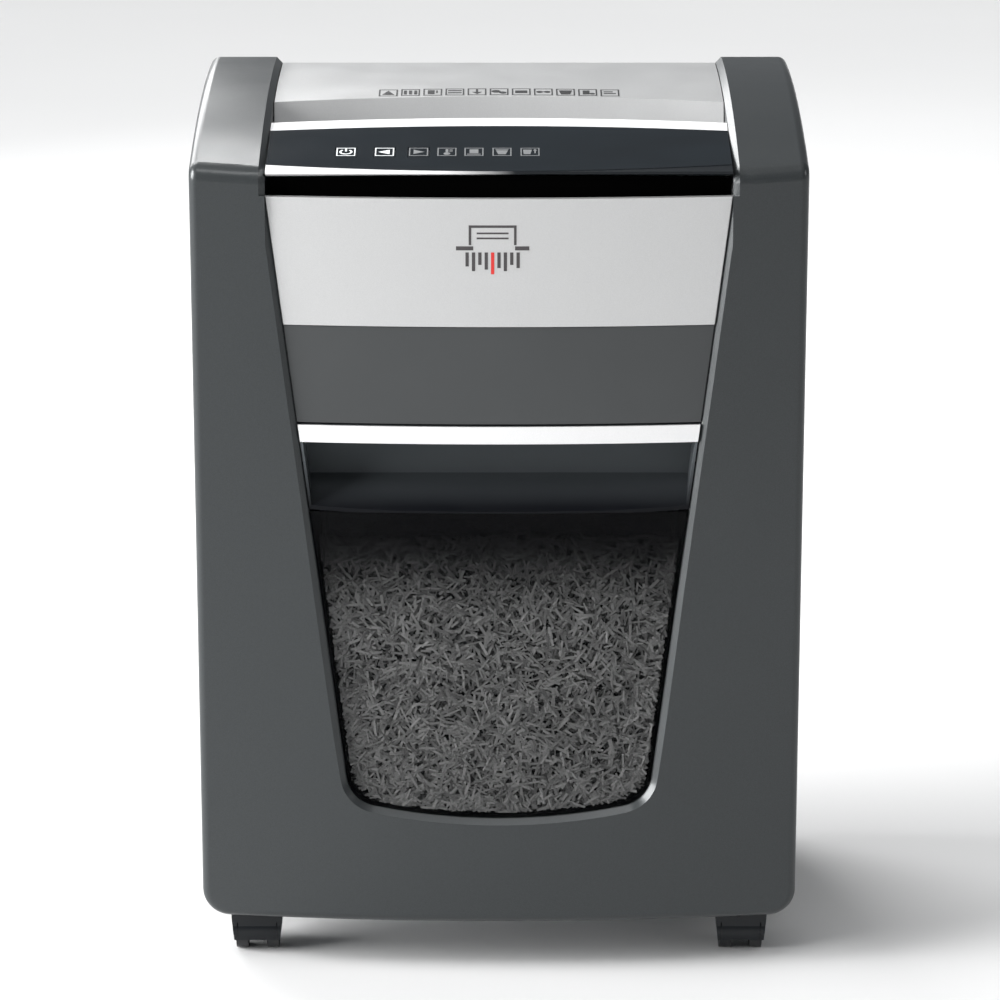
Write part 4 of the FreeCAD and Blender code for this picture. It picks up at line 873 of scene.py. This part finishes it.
def sun(name, direction, strength, spread):
    """A broad distant light that shines along a direction."""
    light = bpy.data.lights.new(name, "SUN")
    light.energy = strength
    light.angle = math.radians(spread)
    obj = bpy.data.objects.new(name, light)
    obj.rotation_euler = Vector(direction).to_track_quat("-Z", "Y").to_euler()
    bpy.context.scene.collection.objects.link(obj)


def studio_lights():
    """A low key from the left, two lights behind that show in the cheeks, and three weak fills."""
    sun("key_left", (0.92, 0.21, -0.27), 7.9, 40)
    area_light("top_back", (-0.95, 1.42, 2.3), 1.7, 0.45, 32)
    area_light("low_back", (-1.15, 1.9, 1.35), 1.7, 0.9, 28)
    area_light("front_top", (-0.3, -1.1, 2.1), 1.0, 0.5, 8)
    area_light("left_glint", (-2.0, -0.55, 1.6), 0.8, 0.8, 12)
    area_light("right_glint", (2.0, -0.4, 1.3), 0.6, 0.6, 5)


def studio_world():
    """Soft surrounding light, dim round the horizon and white overhead."""
    world = bpy.data.worlds.new("studio")
    bpy.context.scene.world = world
    world.use_nodes = True
    tree = world.node_tree
    coordinates = tree.nodes.new("ShaderNodeTexCoord")
    split = tree.nodes.new("ShaderNodeSeparateXYZ")
    ramp = tree.nodes.new("ShaderNodeValToRGB")
    for element, position, colour in zip(ramp.color_ramp.elements, WORLD_SPAN, (WORLD_DIM, WORLD_WHITE)):
        element.position = position
        element.color = colour
    tree.links.new(coordinates.outputs["Generated"], split.inputs["Vector"])
    tree.links.new(split.outputs["Z"], ramp.inputs["Fac"])
    tree.links.new(ramp.outputs["Color"], tree.nodes["Background"].inputs["Color"])
    tree.nodes["Background"].inputs["Strength"].default_value = WORLD_STRENGTH


def studio_camera():
    """A long lens in front of the object, looking down at it."""
    camera = bpy.data.cameras.new("camera")
    camera.lens = CAMERA_LENS
    camera.sensor_width = 36
    camera.shift_x = CAMERA_SHIFT
    camera.clip_end = 100
    obj = bpy.data.objects.new("camera", camera)
    towards_camera = Vector((0, -math.cos(CAMERA_PITCH), math.sin(CAMERA_PITCH)))
    obj.location = CAMERA_TARGET + towards_camera * CAMERA_DISTANCE
    obj.rotation_euler = (math.pi / 2 - CAMERA_PITCH, 0, 0)
    bpy.context.scene.collection.objects.link(obj)
    bpy.context.scene.camera = obj


def print_signs():
    """Every sign and mark on the object, each in its ink."""
    bright_ink = printed_ink("bright_ink", (0.8, 0.82, 0.83))
    dim_ink = printed_ink("dim_ink", (0.16, 0.165, 0.17))
    dark_ink = printed_ink("dark_ink", (0.01, 0.01, 0.011))
    emblem_ink = printed_ink("emblem_ink", (0.055, 0.05, 0.052))
    red_ink = printed_ink("red_ink", (0.6, 0.03, 0.025))
    panel_icons(bright_ink, dim_ink)
    deck_row(dark_ink)
    front_emblem(emblem_ink, red_ink)


# ------------------------------------------------------------------ the whole scene

dress_nodes()
paper_heap()
print_signs()
studio_floor()
studio_lights()
studio_world()
studio_camera()
bpy.context.scene.view_settings.view_transform = "Standard"
